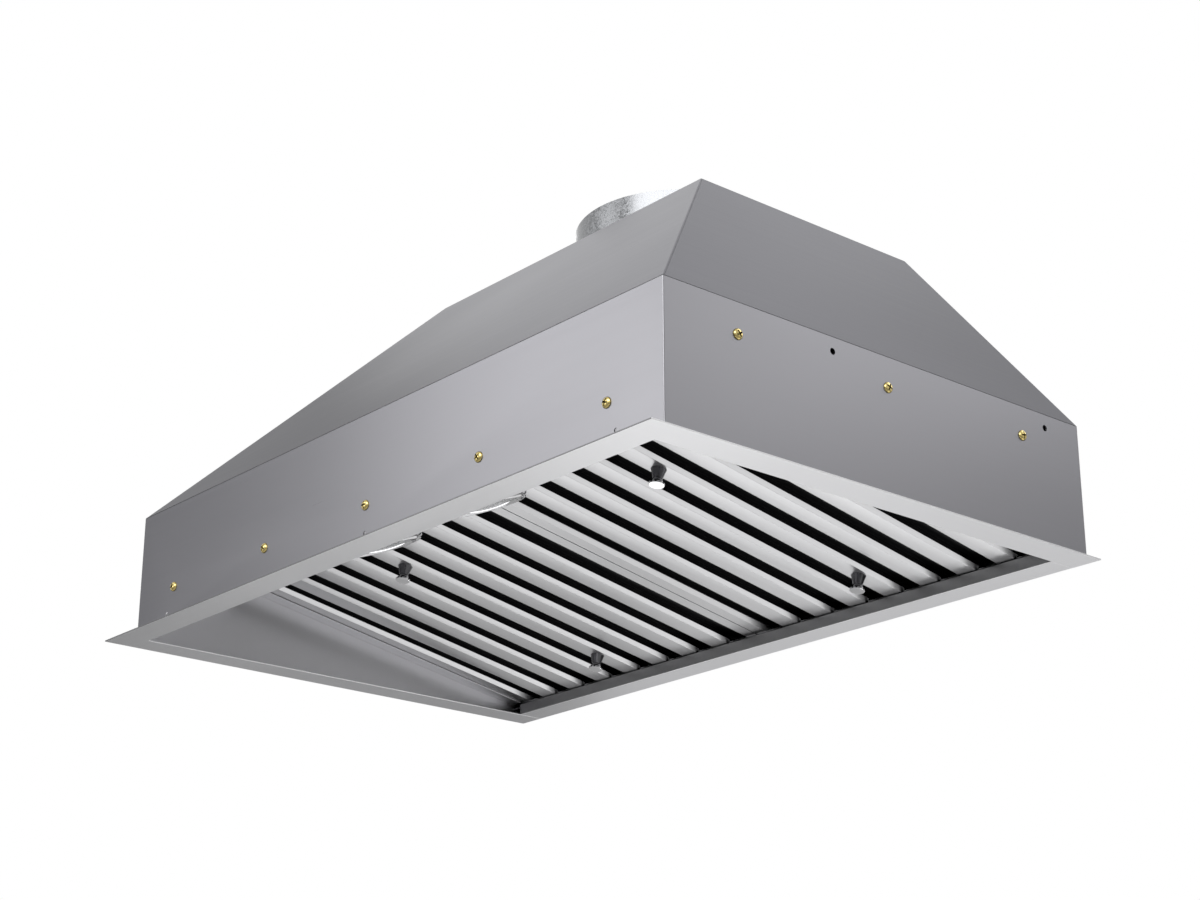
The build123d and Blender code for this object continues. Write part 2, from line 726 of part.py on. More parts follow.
def motor_housing():
    """Motor case inside the right half of the wheel, with the bore of its shaft."""
    boss_end = MOTOR_START - MOTOR_BOSS_LENGTH
    case = rod_z(MOTOR_RADIUS, MOTOR_START, BLOWER_HALF_WIDTH + INLET_RING_THICK)
    case = fillet(case.edges().group_by(Axis.Z)[0], MOTOR_ROUND)
    case += rod_z(MOTOR_BOSS_RADIUS, boss_end, MOTOR_START + PAST)
    case -= rod_z(SHAFT_RADIUS + SHAFT_FIT, boss_end - PAST, MOTOR_START + MOTOR_BORE_DEPTH)
    return about_fan(case)


def motor_bracket():
    """Three-armed plate from the motor's end to the inlet ring."""
    low = BLOWER_HALF_WIDTH + INLET_RING_THICK
    high = low + BRACKET_THICK
    plate = rod_z(MOTOR_RADIUS - BRACKET_HUB_STEP, low, high)
    reach = (0, INLET_RING_RADIUS - BRACKET_END_STEP)
    arm = block(reach, (-BRACKET_ARM_WIDTH / 2, BRACKET_ARM_WIDTH / 2), (low, high))
    for index in range(BRACKET_ARMS):
        plate += Rot(0, 0, 180 + 360 / BRACKET_ARMS * index) * arm
    return about_fan(plate)


# --- fan wheel ---
def fan_disc():
    half = WHEEL_DISC_HALF_THICK
    disc = rod_z(BLADE_INNER_RADIUS, -half, half)
    return about_fan(disc - rod_z(SHAFT_RADIUS, -half - PAST, half + PAST))


def fan_blades():
    """Forward-curved blades, each one strip as long as the wheel."""
    mid = (BLADE_INNER_RADIUS + BLADE_OUTER_RADIUS) / 2
    root = BLADE_INNER_RADIUS
    tip = BLADE_OUTER_RADIUS
    tip_low = (tip, BLADE_HOOK)
    tip_high = (tip - BLADE_TIP_STEP, BLADE_HOOK + BLADE_THICK)
    outline = ThreePointArc((root, 0), (mid, BLADE_BELLY), tip_low)
    outline += Line(tip_low, tip_high)
    outline += ThreePointArc(tip_high, (mid, BLADE_BELLY + BLADE_THICK), (root, BLADE_THICK))
    outline += Line((root, BLADE_THICK), (root, 0))
    reach = WHEEL_HALF_WIDTH - WHEEL_RING_THICK
    blade = extrude(Plane.XY.offset(-reach) * make_face(outline), 2 * reach)
    turns = [Rot(0, 0, 360 / BLADE_COUNT * index) for index in range(BLADE_COUNT)]
    return Compound(children=[about_fan(turn * blade) for turn in turns])


def fan_rings():
    rings = []
    eye = BLADE_INNER_RADIUS - WHEEL_RING_LAP
    for low in (-WHEEL_HALF_WIDTH, WHEEL_HALF_WIDTH - WHEEL_RING_THICK):
        high = low + WHEEL_RING_THICK
        rings.append(about_fan(rod_z(WHEEL_RADIUS, low, high) - rod_z(eye, low - PAST, high + PAST)))
    return Compound(children=rings)


def fan_hub():
    end = -WHEEL_DISC_HALF_THICK - HUB_LENGTH
    hub = rod_z(HUB_RADIUS, end, -WHEEL_DISC_HALF_THICK)
    hub = chamfer(hub.edges().group_by(Axis.Z)[0], HUB_CHAMFER)
    return about_fan(hub - rod_z(SHAFT_RADIUS, end - PAST, PAST))


def motor_shaft():
    return about_fan(rod_z(SHAFT_RADIUS, -HUB_LENGTH - SHAFT_END, MOTOR_START + SHAFT_ENTRY))


# --- wiring parts ---
def run_capacitor():
    level = TOP_Z - SHEET - CAPACITOR_RADIUS
    can = rod_y(CAPACITOR_RADIUS, *CAPACITOR_Y, JUNCTION_X, level)
    return fillet(can.edges().group_by(Axis.Y)[-1], CASE_ROUND)


def junction_box():
    """Box under the top plate, open below, with the cable's hole in its roof."""
    half = JUNCTION_SIZE / 2
    roof = TOP_Z - SHEET
    x_range = (JUNCTION_X - half, JUNCTION_X + half)
    y_range = (JUNCTION_Y - half, JUNCTION_Y + half)
    case = block(x_range, y_range, (roof - JUNCTION_DEPTH, roof))
    x_inner = (x_range[0] + JUNCTION_WALL, x_range[1] - JUNCTION_WALL)
    y_inner = (y_range[0] + JUNCTION_WALL, y_range[1] - JUNCTION_WALL)
    case -= block(x_inner, y_inner, (roof - JUNCTION_DEPTH - PAST, roof - JUNCTION_WALL))
    return case - rod_z(CABLE_HOLE_RADIUS, roof - WELL_PAST, roof + WELL_PAST, JUNCTION_X, JUNCTION_Y)


def junction_cover():
    half = JUNCTION_SIZE / 2
    low = TOP_Z - SHEET - JUNCTION_DEPTH
    x_range = (JUNCTION_X - half, JUNCTION_X + half)
    y_range = (JUNCTION_Y - half, JUNCTION_Y + half)
    return block(x_range, y_range, (low - JUNCTION_WALL, low))


def cable_bushing():
    """Bush through the top plate that a supply cable enters by."""
    under = TOP_Z - SHEET - JUNCTION_WALL - BUSH_UNDER
    rim = CABLE_HOLE_RADIUS + BUSH_RIM
    bush = turned(
        [
            (CABLE_BORE_RADIUS, under),
            (CABLE_HOLE_RADIUS, under),
            (CABLE_HOLE_RADIUS, TOP_Z),
            (rim, TOP_Z),
            (rim, TOP_Z + BUSH_RIM_THICK),
            (CABLE_HOLE_RADIUS, TOP_Z + BUSH_TOP),
            (CABLE_BORE_RADIUS, TOP_Z + BUSH_TOP),
        ]
    )
    return Pos(JUNCTION_X, JUNCTION_Y, 0) * bush


# --- baffle filters, drawn for the right-hand one ---
def strip_places():
    first = FILTER_GAP / 2 + FIRST_STRIP
    return [first + index * STRIP_PITCH for index in range(STRIP_COUNT)]


def knob_places():
    """Where the knobs stand: the middle strip, and two distances along the slope."""
    middle = strip_places()[STRIP_COUNT // 2]
    return [(middle, y / math.cos(tilt)) for y in (KNOB_FRONT_Y, KNOB_REAR_Y)]


def stile():
    """Side member of a filter's frame, its outer face at X zero."""
    lip = (STILE_FLAT + STILE_LIP_RUN, STILE_LIFT + STILE_LIP_RISE)
    path = [(BAR_FLAT, FILTER_THICK), (0, FILTER_THICK), (0, STILE_LIFT), (STILE_FLAT, STILE_LIFT), lip]
    return along_y(folded_section(path, FILTER_SHEET), FILTER_FRONT, FILTER_REAR)


def end_bar():
    """Front member of a filter's frame, its outer face at Y zero."""
    path = [(BAR_FLAT, FILTER_THICK), (0, FILTER_THICK), (0, FILTER_SHEET), (BAR_FLAT, FILTER_SHEET)]
    return along_x(folded_section(path, FILTER_SHEET), 0, FILTER_WIDTH)


def filter_frame_part():
    rear_bar = Pos(0, FILTER_FRONT + FILTER_REAR, 0) * mirror(Pos(0, FILTER_FRONT, 0) * end_bar(), Plane.XZ)
    front_bar = Pos(0, FILTER_FRONT, 0) * end_bar()
    left_stile = stile()
    right_stile = Pos(FILTER_WIDTH, 0, 0) * mirrored(stile())
    frame = front_bar + rear_bar + left_stile + right_stile
    return Pos(FILTER_GAP / 2, 0, 0) * frame


def filter_strips():
    """Lower baffles: flat strips with both edges turned up and a tongue at each end."""
    half = STRIP_FLAT / 2
    tip = half + STRIP_LIP_RUN
    path = [(-tip, STRIP_LIP_RISE), (-half, 0), (half, 0), (tip, STRIP_LIP_RISE)]
    front = FILTER_FRONT + BAR_FLAT + LIP_STOP
    rear = FILTER_REAR - BAR_FLAT - LIP_STOP
    strip = along_y(folded_section(path, FILTER_SHEET), front, rear)
    strip += block((-half, half), (front - STRIP_TONGUE, rear + STRIP_TONGUE), (0, FILTER_SHEET))
    strips = [Pos(x, 0, 0) * strip for x in strip_places()]
    middle = STRIP_COUNT // 2
    for x, along in knob_places():
        strips[middle] -= rod_z(SCREW_HOLE_RADIUS, -PAST, FILTER_SHEET + PAST, x, along)
    return strips


def channel(left, right):
    """Upper baffle: a channel with its edges turned down."""
    top = FILTER_THICK - FILTER_SHEET
    path = [(right, CHANNEL_LOW), (right, top), (left, top), (left, CHANNEL_LOW)]
    face = folded_section(path, FILTER_SHEET)
    return along_y(face, FILTER_FRONT + CHANNEL_SETBACK, FILTER_REAR - CHANNEL_SETBACK)


def filter_channels():
    """Upper baffles, one over each gap between the strips and the frame."""
    half = CHANNEL_WIDTH / 2
    places = strip_places()
    channels = [channel(x + STRIP_PITCH / 2 - half, x + STRIP_PITCH / 2 + half) for x in places[:-1]]
    near = FILTER_GAP / 2 + EDGE_CHANNEL_START
    far = FILTER_GAP / 2 + FILTER_WIDTH - EDGE_CHANNEL_START
    channels.append(channel(near, places[0] - STRIP_PITCH / 2 + half))
    channels.append(channel(places[-1] + STRIP_PITCH / 2 - half, far))
    return channels


def knob():
    """Spool-shaped pull that hangs below the filter, its base at Z zero."""
    disc_top = -KNOB_LENGTH + KNOB_DISC_THICK
    shape = turned(
        [
            (0, 0),
            (KNOB_BASE_RADIUS, 0),
            (KNOB_BASE_RADIUS, -KNOB_BASE_BAND),
            (KNOB_WAIST_RADIUS + KNOB_WAIST_TAPER, -KNOB_WAIST_DROP + KNOB_WAIST_BAND),
            (KNOB_WAIST_RADIUS, -KNOB_WAIST_DROP),
            (KNOB_WAIST_RADIUS + KNOB_FLARE_RUN, -KNOB_WAIST_DROP - KNOB_FLARE_DROP),
            (KNOB_DISC_RADIUS - KNOB_DISC_BREAK, disc_top),
            (KNOB_DISC_RADIUS, disc_top - KNOB_DISC_BREAK),
            (KNOB_DISC_RADIUS, -KNOB_LENGTH + KNOB_DISC_ROUND),
            (KNOB_DISC_RADIUS - KNOB_DISC_ROUND, -KNOB_LENGTH),
            (0, -KNOB_LENGTH),
        ]
    )
    return shape - rod_z(SCREW_SHANK_RADIUS + KNOB_BORE_GAP, -KNOB_BORE_DEPTH, PAST)


def write(shape, node):
    export_step(shape, "parts/" + node + ".step")


def write_filter(side, name):
    """One filter's nodes; side is 1 on the right and -1 on the left."""

    def placed(shape):
        return filter_frame * (shape if side > 0 else mirrored(shape))

    write(placed(filter_frame_part()), "filter_" + name + "_frame")
    write(Compound(children=[placed(strip) for strip in filter_strips()]), "filter_" + name + "_strips")
    write(Compound(children=[placed(item) for item in filter_channels()]), "filter_" + name + "_channels")
    screws = []
    for (x, along), end in zip(knob_places(), ("front", "rear")):
        write(placed(Pos(x, along, 0) * knob()), "knob_" + name + "_" + end)
        screws.append(placed(Pos(x, along, FILTER_SHEET) * pan_screw(KNOB_BORE_DEPTH - 1)))
    write(Compound(children=screws), "knob_" + name + "_screws")


def main():
    os.makedirs("parts", exist_ok=True)
    write(trim_frame(), "trim_frame")
    write(trim_rear(), "trim_rear")
    write(front_panel(), "front_panel")
    write(right_panel(), "right_panel")
    write(mirrored(right_panel()), "left_panel")
    write(rear_panel(), "rear_panel")
    for sheet, node in zip(canopy_sheets(), ("front", "left", "right", "top")):
        write(sheet, "canopy_" + node)
    write(control_panel(), "control_panel")
    write(filter_rail_front(), "filter_rail_front")
    write(filter_rail_rear(), "filter_rail_rear")
    write(filler_right(), "filler_right")
    write(mirrored(filler_right()), "filler_left")
    write(front_screws(), "front_screws")
    write(side_screws(), "side_screws")
    write(lamp_pair(lamp_bezel()), "lamp_bezels")
    write(lamp_pair(lamp_can()), "lamp_cans")
    write(lamp_pair(lamp_lens()), "lamp_lenses")
    write(lamp_pair(led_board()), "led_boards")
    write(lamp_driver(), "lamp_driver")
    write(switch_block(), "switch_block")
    for index, x in enumerate(button_places()):
        write(push_button(x), "button_" + str(index + 1))
    write(duct_collar(), "duct_collar")
    write(collar_screws(), "collar_screws")
    write(damper_rod(), "damper_rod")
    write(damper_flap(-1), "damper_flap_front")
    write(damper_flap(1), "damper_flap_rear")
    write(blower_wrap(), "blower_wrap")
    write(blower_side(), "blower_side_right")
    write(mirrored(blower_side()), "blower_side_left")
    write(Compound(children=[inlet_ring(), mirrored(inlet_ring())]), "inlet_rings")
    write(motor_housing(), "motor_housing")
    write(motor_bracket(), "motor_bracket")
    write(fan_disc(), "fan_disc")
    write(fan_blades(), "fan_blades")
    write(fan_rings(), "fan_rings")
    write(fan_hub(), "fan_hub")
    write(motor_shaft(), "motor_shaft")
    write(run_capacitor(), "run_capacitor")
    write(junction_box(), "junction_box")
    write(junction_cover(), "junction_cover")
    write(cable_bushing(), "cable_bushing")
    write_filter(1, "right")
    write_filter(-1, "left")


main()
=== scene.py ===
"""Looks of the range hood insert: steel shell, baffle filters, knobs, lamps, screws, studio."""

import json
import math

import bmesh
import bpy
import numpy as np
from mathutils import Matrix, Vector

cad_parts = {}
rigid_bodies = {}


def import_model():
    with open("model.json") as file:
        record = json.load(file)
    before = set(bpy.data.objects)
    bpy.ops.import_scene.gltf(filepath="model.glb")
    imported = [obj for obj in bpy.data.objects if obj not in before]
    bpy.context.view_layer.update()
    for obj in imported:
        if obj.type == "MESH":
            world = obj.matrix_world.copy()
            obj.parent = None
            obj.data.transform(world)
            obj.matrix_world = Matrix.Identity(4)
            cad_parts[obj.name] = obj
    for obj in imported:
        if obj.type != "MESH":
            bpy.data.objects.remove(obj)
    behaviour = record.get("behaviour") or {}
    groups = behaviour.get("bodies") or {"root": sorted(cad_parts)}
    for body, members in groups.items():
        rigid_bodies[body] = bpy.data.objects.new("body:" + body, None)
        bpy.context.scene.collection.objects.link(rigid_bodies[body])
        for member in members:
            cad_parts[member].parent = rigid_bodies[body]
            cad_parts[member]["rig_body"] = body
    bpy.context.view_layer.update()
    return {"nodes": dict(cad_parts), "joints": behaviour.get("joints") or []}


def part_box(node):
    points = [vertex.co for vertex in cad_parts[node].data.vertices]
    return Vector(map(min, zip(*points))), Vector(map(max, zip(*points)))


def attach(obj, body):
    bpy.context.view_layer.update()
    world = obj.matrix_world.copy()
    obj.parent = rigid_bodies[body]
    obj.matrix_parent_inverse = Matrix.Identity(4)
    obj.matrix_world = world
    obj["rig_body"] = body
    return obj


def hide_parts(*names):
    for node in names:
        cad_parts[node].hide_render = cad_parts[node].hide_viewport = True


bl_info = {
    "name": "Range hood insert",
    "version": (1, 0, 0),
    "blender": (4, 5, 0),
    "location": "3D View > Sidebar > Hood",
    "description": "Dresses the packed range hood insert and sets up its studio",
    "category": "Object",
}

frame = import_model()
NODES = frame["nodes"]
JOINTS = {joint["name"]: joint for joint in frame["joints"]}

FILTER_PLANE_HEIGHT = 0.0534
STRIP_COUNT = 7
SIDES = ("left", "right")
HOOD_MIDDLE = (0.0, 0.0, 0.15)
# The front wall's back face, where both side walls butt against it.
CORNER_JOINT_Y = -0.2238
# The side flanges' inner edges, and the radius to which the left one is rolled.
FLANGE_INNER_X = 0.3517
ROLLED_EDGE = 0.0011
# Each softbox: place, width, height, and strength against the white surround.
SOFTBOXES = {
    "front_softbox": ((-1.39, -1.964, 0.88), 1.1, 1.2, 2.95),
    "corner_softbox": ((1.16, -2.08, 1.38), 3.0, 1.3, 5.0),
    "left_softbox": ((-1.6, 1.65, 2.08), 2.2, 2.2, 1.15),
    "back_softbox": ((1.3, 1.88, 2.03), 2.3, 2.3, 2.0),
    "top_softbox": ((-0.33, 2.5, 2.6), 0.8, 0.8, 0.30),
    "low_left_softbox": ((-0.72, 1.42, -0.52), 1.33, 0.71, 0.53),
    "low_right_softbox": ((0.9, 0.7, -0.9), 0.9, 0.9, 0.95),
    "flange_softbox": ((-0.29, 0.47, -0.53), 1.37, 0.175, 2.05),
}

# How near two points are when they merge, on a CAD node's copy and on a new grid.
CAD_MERGE = 2e-6
GRID_MERGE = 1e-7
# Below the first angle faces are joined as flat, and above the second an edge is a bend.
FLAT_ANGLE = math.radians(0.6)
BEND_ANGLE = math.radians(28)
# The angles past which an edge is drawn sharp.
SHEET_SHARP = math.radians(30)
STRIP_SHARP = math.radians(35)
TURNED_SHARP = math.radians(40)
SCREW_SHARP = math.radians(50)
# How near a point is to count as on the corner joint or the flange's underside, and as on
# the line of the flange's rolled edge.
ON_JOINT = 1e-5
ON_ROLL = 2e-5
# The front wall's folded corners lie past this X.
CORNER_JOINT_X = 0.3669
# A face looks along an axis past this share of its normal, and into the box past this product.
FACES_AXIS = 0.5
LOOKS_INWARD = 0.05
# Depth of a satin finish's relief.
SATIN_RELIEF = 0.00002

# The filter frames' share of the shell's edge radius, and the edge radii of smaller pieces.
FRAME_EDGE_SHARE = 0.7
BUTTON_EDGE = 0.0003
FLAP_EDGE = 0.0003
COLLAR_EDGE = 0.0004

# Knob: steps and segments of its turned surface, the powers of its neck and flare, and, as
# multiples of the soft edge, the base band's height and the inner ring of the disc's face.
KNOB_STEPS = 30
KNOB_SEGMENTS = 56
NECK_POWER = 1.05
FLARE_POWER = 1.6
BASE_BAND = 0.9
DISC_RING = 3
# Lamp rim: radii of its seat, lip and mouth, the lip's depth and thickness, and its steps.
RIM_SEAT = 0.0272
RIM_LIP = 0.0262
RIM_MOUTH = 0.0292
LIP_DEPTH = 0.0075
LIP_THICK = 0.0008
CROWN_STEPS = 14
RIM_SEGMENTS = 96
# Screw head: rings, spokes, the power of its dome, and the low band round its rim.
HEAD_RINGS = 26
HEAD_SPOKES = 96
DOME_POWER = 2.6
HEAD_BAND = 0.0002
HEAD_BAND_REACH = 0.98
# Its cross recess: half width and length of an arm, how fast an arm's end closes, the run of
# its walls and its depth, then the reach and the share of the head's height within which a
# face takes the painted shade of the recess.
ARM_HALF = 0.0007
ARM_LENGTH = 0.0027
ARM_END = 4
WALL_RUN = 0.0002
RECESS_DEPTH = 0.0015
RECESS_REACH = 0.0031
RECESS_SHARE = 0.8
# Turn of the first screw's cross, and from each screw to the next.
FIRST_TURN = 0.35
NEXT_TURN = 0.6
FRONT_SCREWS = 5
SIDE_SCREWS = 3
# Floor: radii of its rings, and its segments.
FLOOR_RADII = (0, 1, 6, 30)
FLOOR_SEGMENTS = 64


# ---------------------------------------------------------------- settings
class ShellSettings(bpy.types.PropertyGroup):
    """Walls, canopy and flange"""

    edge_radius: bpy.props.FloatProperty(
        name="Edge radius",
        description="Rounding of cut and folded sheet edges",
        default=0.00035,
        unit="LENGTH",
    )
    wall_colour: bpy.props.FloatVectorProperty(
        name="Wall colour",
        description="Satin steel of the box and canopy",
        default=(0.172, 0.171, 0.181),
        subtype="COLOR",
    )
    flange_colour: bpy.props.FloatVectorProperty(
        name="Flange colour",
        description="Brighter steel of the trim flange",
        default=(0.75, 0.75, 0.757),
        subtype="COLOR",
    )
    wall_roughness: bpy.props.FloatProperty(
        name="Wall roughness",
        description="Spread of reflections on the walls",
        default=0.30,
        min=0,
        max=1,
    )


class FilterSettings(bpy.types.PropertyGroup):
    """Strips, frames and channels of the baffle filters"""

    bend_radius: bpy.props.FloatProperty(
        name="Bend radius",
        description="Outer radius where a strip turns up",
        default=0.0007,
        unit="LENGTH",
    )
    strip_flat: bpy.props.FloatProperty(
        name="Strip flat",
        description="Width of a strip between its turned-up edges",
        default=0.019,
        unit="LENGTH",
    )
    strip_thickness: bpy.props.FloatProperty(
        name="Strip thickness",
        description="Thickness of the strip's sheet",
        default=0.0009,
        unit="LENGTH",
    )
    lip_run: bpy.props.FloatProperty(
        name="Lip run",
        description="How far each turned-up edge runs outwards",
        default=0.0026,
        unit="LENGTH",
    )
    lip_rise: bpy.props.FloatProperty(
        name="Lip rise",
        description="How far each turned-up edge rises",
        default=0.0035,
        unit="LENGTH",
    )
    strip_front: bpy.props.FloatProperty(
        name="Strip front",
        description="Where the strips' turned-up edges begin, down the slope",
        default=-0.1218,
        unit="LENGTH",
    )
    strip_rear: bpy.props.FloatProperty(
        name="Strip rear",
        description="Where the strips' turned-up edges end, up the slope",
        default=0.2275,
        unit="LENGTH",
    )
    tongue: bpy.props.FloatProperty(
        name="Tongue",
        description="Length of the flat end that the frame holds",
        default=0.008,
        unit="LENGTH",
    )
    strip_colour: bpy.props.FloatVectorProperty(
        name="Strip colour",
        description="Steel of the lower strips and frames",
        default=(0.47, 0.47, 0.477),
        subtype="COLOR",
    )
    # Painted shadow: the upper channels are steel like the strips, and this dark colour stands in
    # for the shade inside the filters seen through the gaps.
    shadow_colour: bpy.props.FloatVectorProperty(
        name="Channel colour",
        description="Dark steel seen through the gaps",
        default=(0.035, 0.035, 0.037),
        subtype="COLOR",
    )
    strip_roughness: bpy.props.FloatProperty(
        name="Strip roughness",
        description="Spread of reflections on the strips",
        default=0.30,
        min=0,
        max=1,
    )


class FittingSettings(bpy.types.PropertyGroup):
    """Knobs, lamps, buttons and screws"""

    chrome_colour: bpy.props.FloatVectorProperty(
        name="Chrome colour",
        description="Polished knobs and lamp rims",
        default=(0.60, 0.60, 0.61),
        subtype="COLOR",
    )
    brass_colour: bpy.props.FloatVectorProperty(
        name="Screw colour",
        description="Yellow plating of the screws",
        default=(0.50, 0.40, 0.16),
        subtype="COLOR",
    )
    knob_length: bpy.props.FloatProperty(
        name="Knob length", description="Height of a spool knob", default=0.015, unit="LENGTH"
    )
    knob_base: bpy.props.FloatProperty(
        name="Knob base", description="Radius against the filter", default=0.00675, unit="LENGTH"
    )
    knob_waist: bpy.props.FloatProperty(
        name="Knob waist", description="Smallest radius", default=0.0041, unit="LENGTH"
    )
    knob_rim: bpy.props.FloatProperty(
        name="Knob rim", description="Radius of the disc", default=0.0067, unit="LENGTH"
    )
    knob_waist_drop: bpy.props.FloatProperty(
        name="Waist drop",
        description="How far below the filter the waist is",
        default=0.0092,
        unit="LENGTH",
    )
    knob_disc_drop: bpy.props.FloatProperty(
        name="Disc drop",
        description="How far below the filter the disc begins",
        default=0.0131,
        unit="LENGTH",
    )
    knob_soft_edge: bpy.props.FloatProperty(
        name="Knob soft edge",
        description="Softening of the disc's edges",
        default=0.0004,
        unit="LENGTH",
    )
    rim_radius: bpy.props.FloatProperty(
        name="Lamp rim radius",
        description="Outer radius of a lamp rim",
        default=0.036,
        unit="LENGTH",
    )
    rim_proud: bpy.props.FloatProperty(
        name="Lamp rim depth",
        description="How far a lamp rim stands off the panel",
        default=0.0102,
        unit="LENGTH",
    )
    rim_crown: bpy.props.FloatProperty(
        name="Lamp rim rounding",
        description="Radius of a lamp rim's outer edge",
        default=0.0045,
        unit="LENGTH",
    )
    screw_radius: bpy.props.FloatProperty(
        name="Screw head radius",
        description="Radius of a screw head",
        default=0.0046,
        unit="LENGTH",
    )
    screw_height: bpy.props.FloatProperty(
        name="Screw head height",
        description="Height of a domed screw head",
        default=0.0024,
        unit="LENGTH",
    )
    zinc_colour: bpy.props.FloatVectorProperty(
        name="Zinc colour",
        description="Galvanised collar and blower",
        default=(0.205, 0.209, 0.217),
        subtype="COLOR",
    )


class StudioSettings(bpy.types.PropertyGroup):
    """Camera, lights and floor"""

    camera_place: bpy.props.FloatVectorProperty(
        name="Camera place",
        description="Where the camera stands",
        default=(1.4813, -1.2425, -0.5705),
        subtype="XYZ",
        unit="LENGTH",
    )
    camera_yaw: bpy.props.FloatProperty(
        name="Yaw",
        description="Turn of the view from +Y towards -X",
        default=math.radians(49.327),
        unit="ROTATION",
    )
    camera_pitch: bpy.props.FloatProperty(
        name="Pitch",
        description="How far the view looks up",
        default=math.radians(20.277),
        unit="ROTATION",
    )
    lens: bpy.props.FloatProperty(
        name="Lens", description="Focal length in millimetres on a 36 mm wide frame", default=68.59
    )
    floor_drop: bpy.props.FloatProperty(
        name="Floor drop",
        description="How far below the flange the floor lies",
        default=2.4,
        unit="LENGTH",
    )
    surround: bpy.props.FloatProperty(
        name="Surround", description="Strength of the room's diffuse light", default=0.45, min=0
    )


# ---------------------------------------------------------------- surfaces
def new_piece(name, mesh, material, body, *replaced, slot=None):
    """Link a finished mesh as a piece that rides on a body and stands for CAD nodes."""
    piece = bpy.data.objects.new(name, mesh)
    bpy.context.scene.collection.objects.link(piece)
    mesh.materials.clear()
    mesh.materials.append(material)
    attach(piece, body)
    if replaced:
        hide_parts(*replaced)
    return piece


def grid_faces(rows, columns, closed):
    """Quads of a grid of points: each joins a point, the next in its row, and the two below.

    Closed joins the last column to the first.
    """
    last = columns if closed else columns - 1
    row, column = np.meshgrid(np.arange(rows - 1), np.arange(last), indexing="ij")
    following = (column + 1) % columns
    a = row * columns + column
    b = row * columns + following
    return np.stack([a, b, b + columns, a + columns], -1).reshape(-1, 4)


def mesh_from(name, points, quads, caps=()):
    """A smooth mesh from point and quad arrays and end caps, merged and turned outwards."""
    mesh = bpy.data.meshes.new(name)
    faces = [*quads.tolist(), *[list(cap) for cap in caps]]
    mesh.from_pydata(points.reshape(-1, 3).tolist(), [], faces)
    work = bmesh.new()
    work.from_mesh(mesh)
    bmesh.ops.remove_doubles(work, verts=work.verts, dist=GRID_MERGE)
    bmesh.ops.recalc_face_normals(work, faces=work.faces)
    work.to_mesh(mesh)
    work.free()
    mesh.shade_smooth()
    return mesh


def turned_points(profile, segments):
    """Surface of revolution: radius times cosine and sine of the turn, at the point's height."""
    profile = np.asarray(profile, float)
    angle = np.linspace(0, 2 * np.pi, segments, endpoint=False)
    radius, height = profile[:, 0, None], profile[:, 1, None]
    return np.stack([radius * np.cos(angle), radius * np.sin(angle), height + 0 * angle], -1)


def moved(points, place):
    """Points turned and shifted by a matrix: the turn applied first, then the shift added."""
    return points @ np.array(place.to_3x3()).T + np.array(place.translation)


def placed_mesh(name, shape, places):
    """One mesh of the same closed grid of points, moved by each of the matrices."""
    quads = grid_faces(shape.shape[0], shape.shape[1], True)
    flat = shape.reshape(-1, 3)
    placed = np.concatenate([moved(flat, place) for place in places])
    offsets = np.arange(len(places))[:, None, None] * len(flat)
    return mesh_from(name, placed, (quads[None] + offsets).reshape(-1, 4))


def rounded_path(points, radius, steps=5):
    """Replace each inner corner of a path by an arc that touches both its runs.

    The arc starts at the radius times the tangent of half the turn before the corner. From
    there it goes radius times sine along the first run and radius times one less cosine aside.
    """
    points = np.asarray(points, float)
    out = [points[0]]
    for before, corner, after in zip(points, points[1:], points[2:]):
        into = (corner - before) / np.linalg.norm(corner - before)
        away = (after - corner) / np.linalg.norm(after - corner)
        turn = math.acos(float(np.clip(into @ away, -1, 1)))
        reach = radius * math.tan(turn / 2)
        start = corner - into * reach
        side = away - into * (into @ away)
        side /= np.linalg.norm(side)
        angles = np.linspace(0, turn, steps + 1)[:, None]
        out.extend(start + radius * (np.sin(angles) * into + (1 - np.cos(angles)) * side))
    out.append(points[-1])
    return np.array(out)


def thickened(path, thickness):
    """Closed section of a sheet: the path, then the same path moved to its left, walked back.

    At a corner the move is the thickness over the cosine of half the turn, so the sheet stays
    as thick along both runs.
    """
    tangent = np.empty_like(path)
    steps = np.diff(path, axis=0)
    units = steps / np.linalg.norm(steps, axis=1)[:, None]
    tangent[0], tangent[-1] = units[0], units[-1]
    tangent[1:-1] = units[:-1] + units[1:]
    tangent /= np.linalg.norm(tangent, axis=1)[:, None]
    stretch = np.ones(len(path))
    stretch[1:-1] = 1 / np.maximum(0.5, np.sum(tangent[1:-1] * units[1:], axis=1))
    normal = np.stack([-tangent[:, 1], tangent[:, 0]], -1) * (thickness * stretch)[:, None]
    return np.concatenate([path, (path + normal)[::-1]])


def carried_mesh(name, sections, low, high, placing):
    """Sections in X and Z, each carried straight along Y from low to high, capped and moved."""
    points, quads, caps, count = [], [], [], 0
    for section in sections:
        size = len(section)
        for y in (low, high):
            points.append(np.stack([section[:, 0], np.full(size, y), section[:, 1]], -1))
        quads.append(grid_faces(2, size, True) + count)
        caps += [range(count, count + size), range(count + size, count + 2 * size)]
        count += 2 * size
    mesh = mesh_from(name, moved(np.concatenate(points), placing), np.concatenate(quads), caps)
    mesh.set_sharp_from_angle(angle=STRIP_SHARP)
    return mesh


def face_data(mesh):
    """Middles and normals of a mesh's faces, as arrays."""
    count = len(mesh.polygons)
    centres, normals = np.empty(count * 3), np.empty(count * 3)
    mesh.polygons.foreach_get("center", centres)
    mesh.polygons.foreach_get("normal", normals)
    return centres.reshape(-1, 3), normals.reshape(-1, 3)


def finish_faces(mesh, **chosen):
    """Put each named finish on the faces of its mask, and leave the first finish on the rest."""
    index = np.zeros(len(mesh.polygons), np.int32)
    for finish, mask in chosen.items():
        mesh.materials.append(MATERIALS[finish])
        index[mask] = len(mesh.materials) - 1
    mesh.polygons.foreach_set("material_index", index)
    mesh.update()


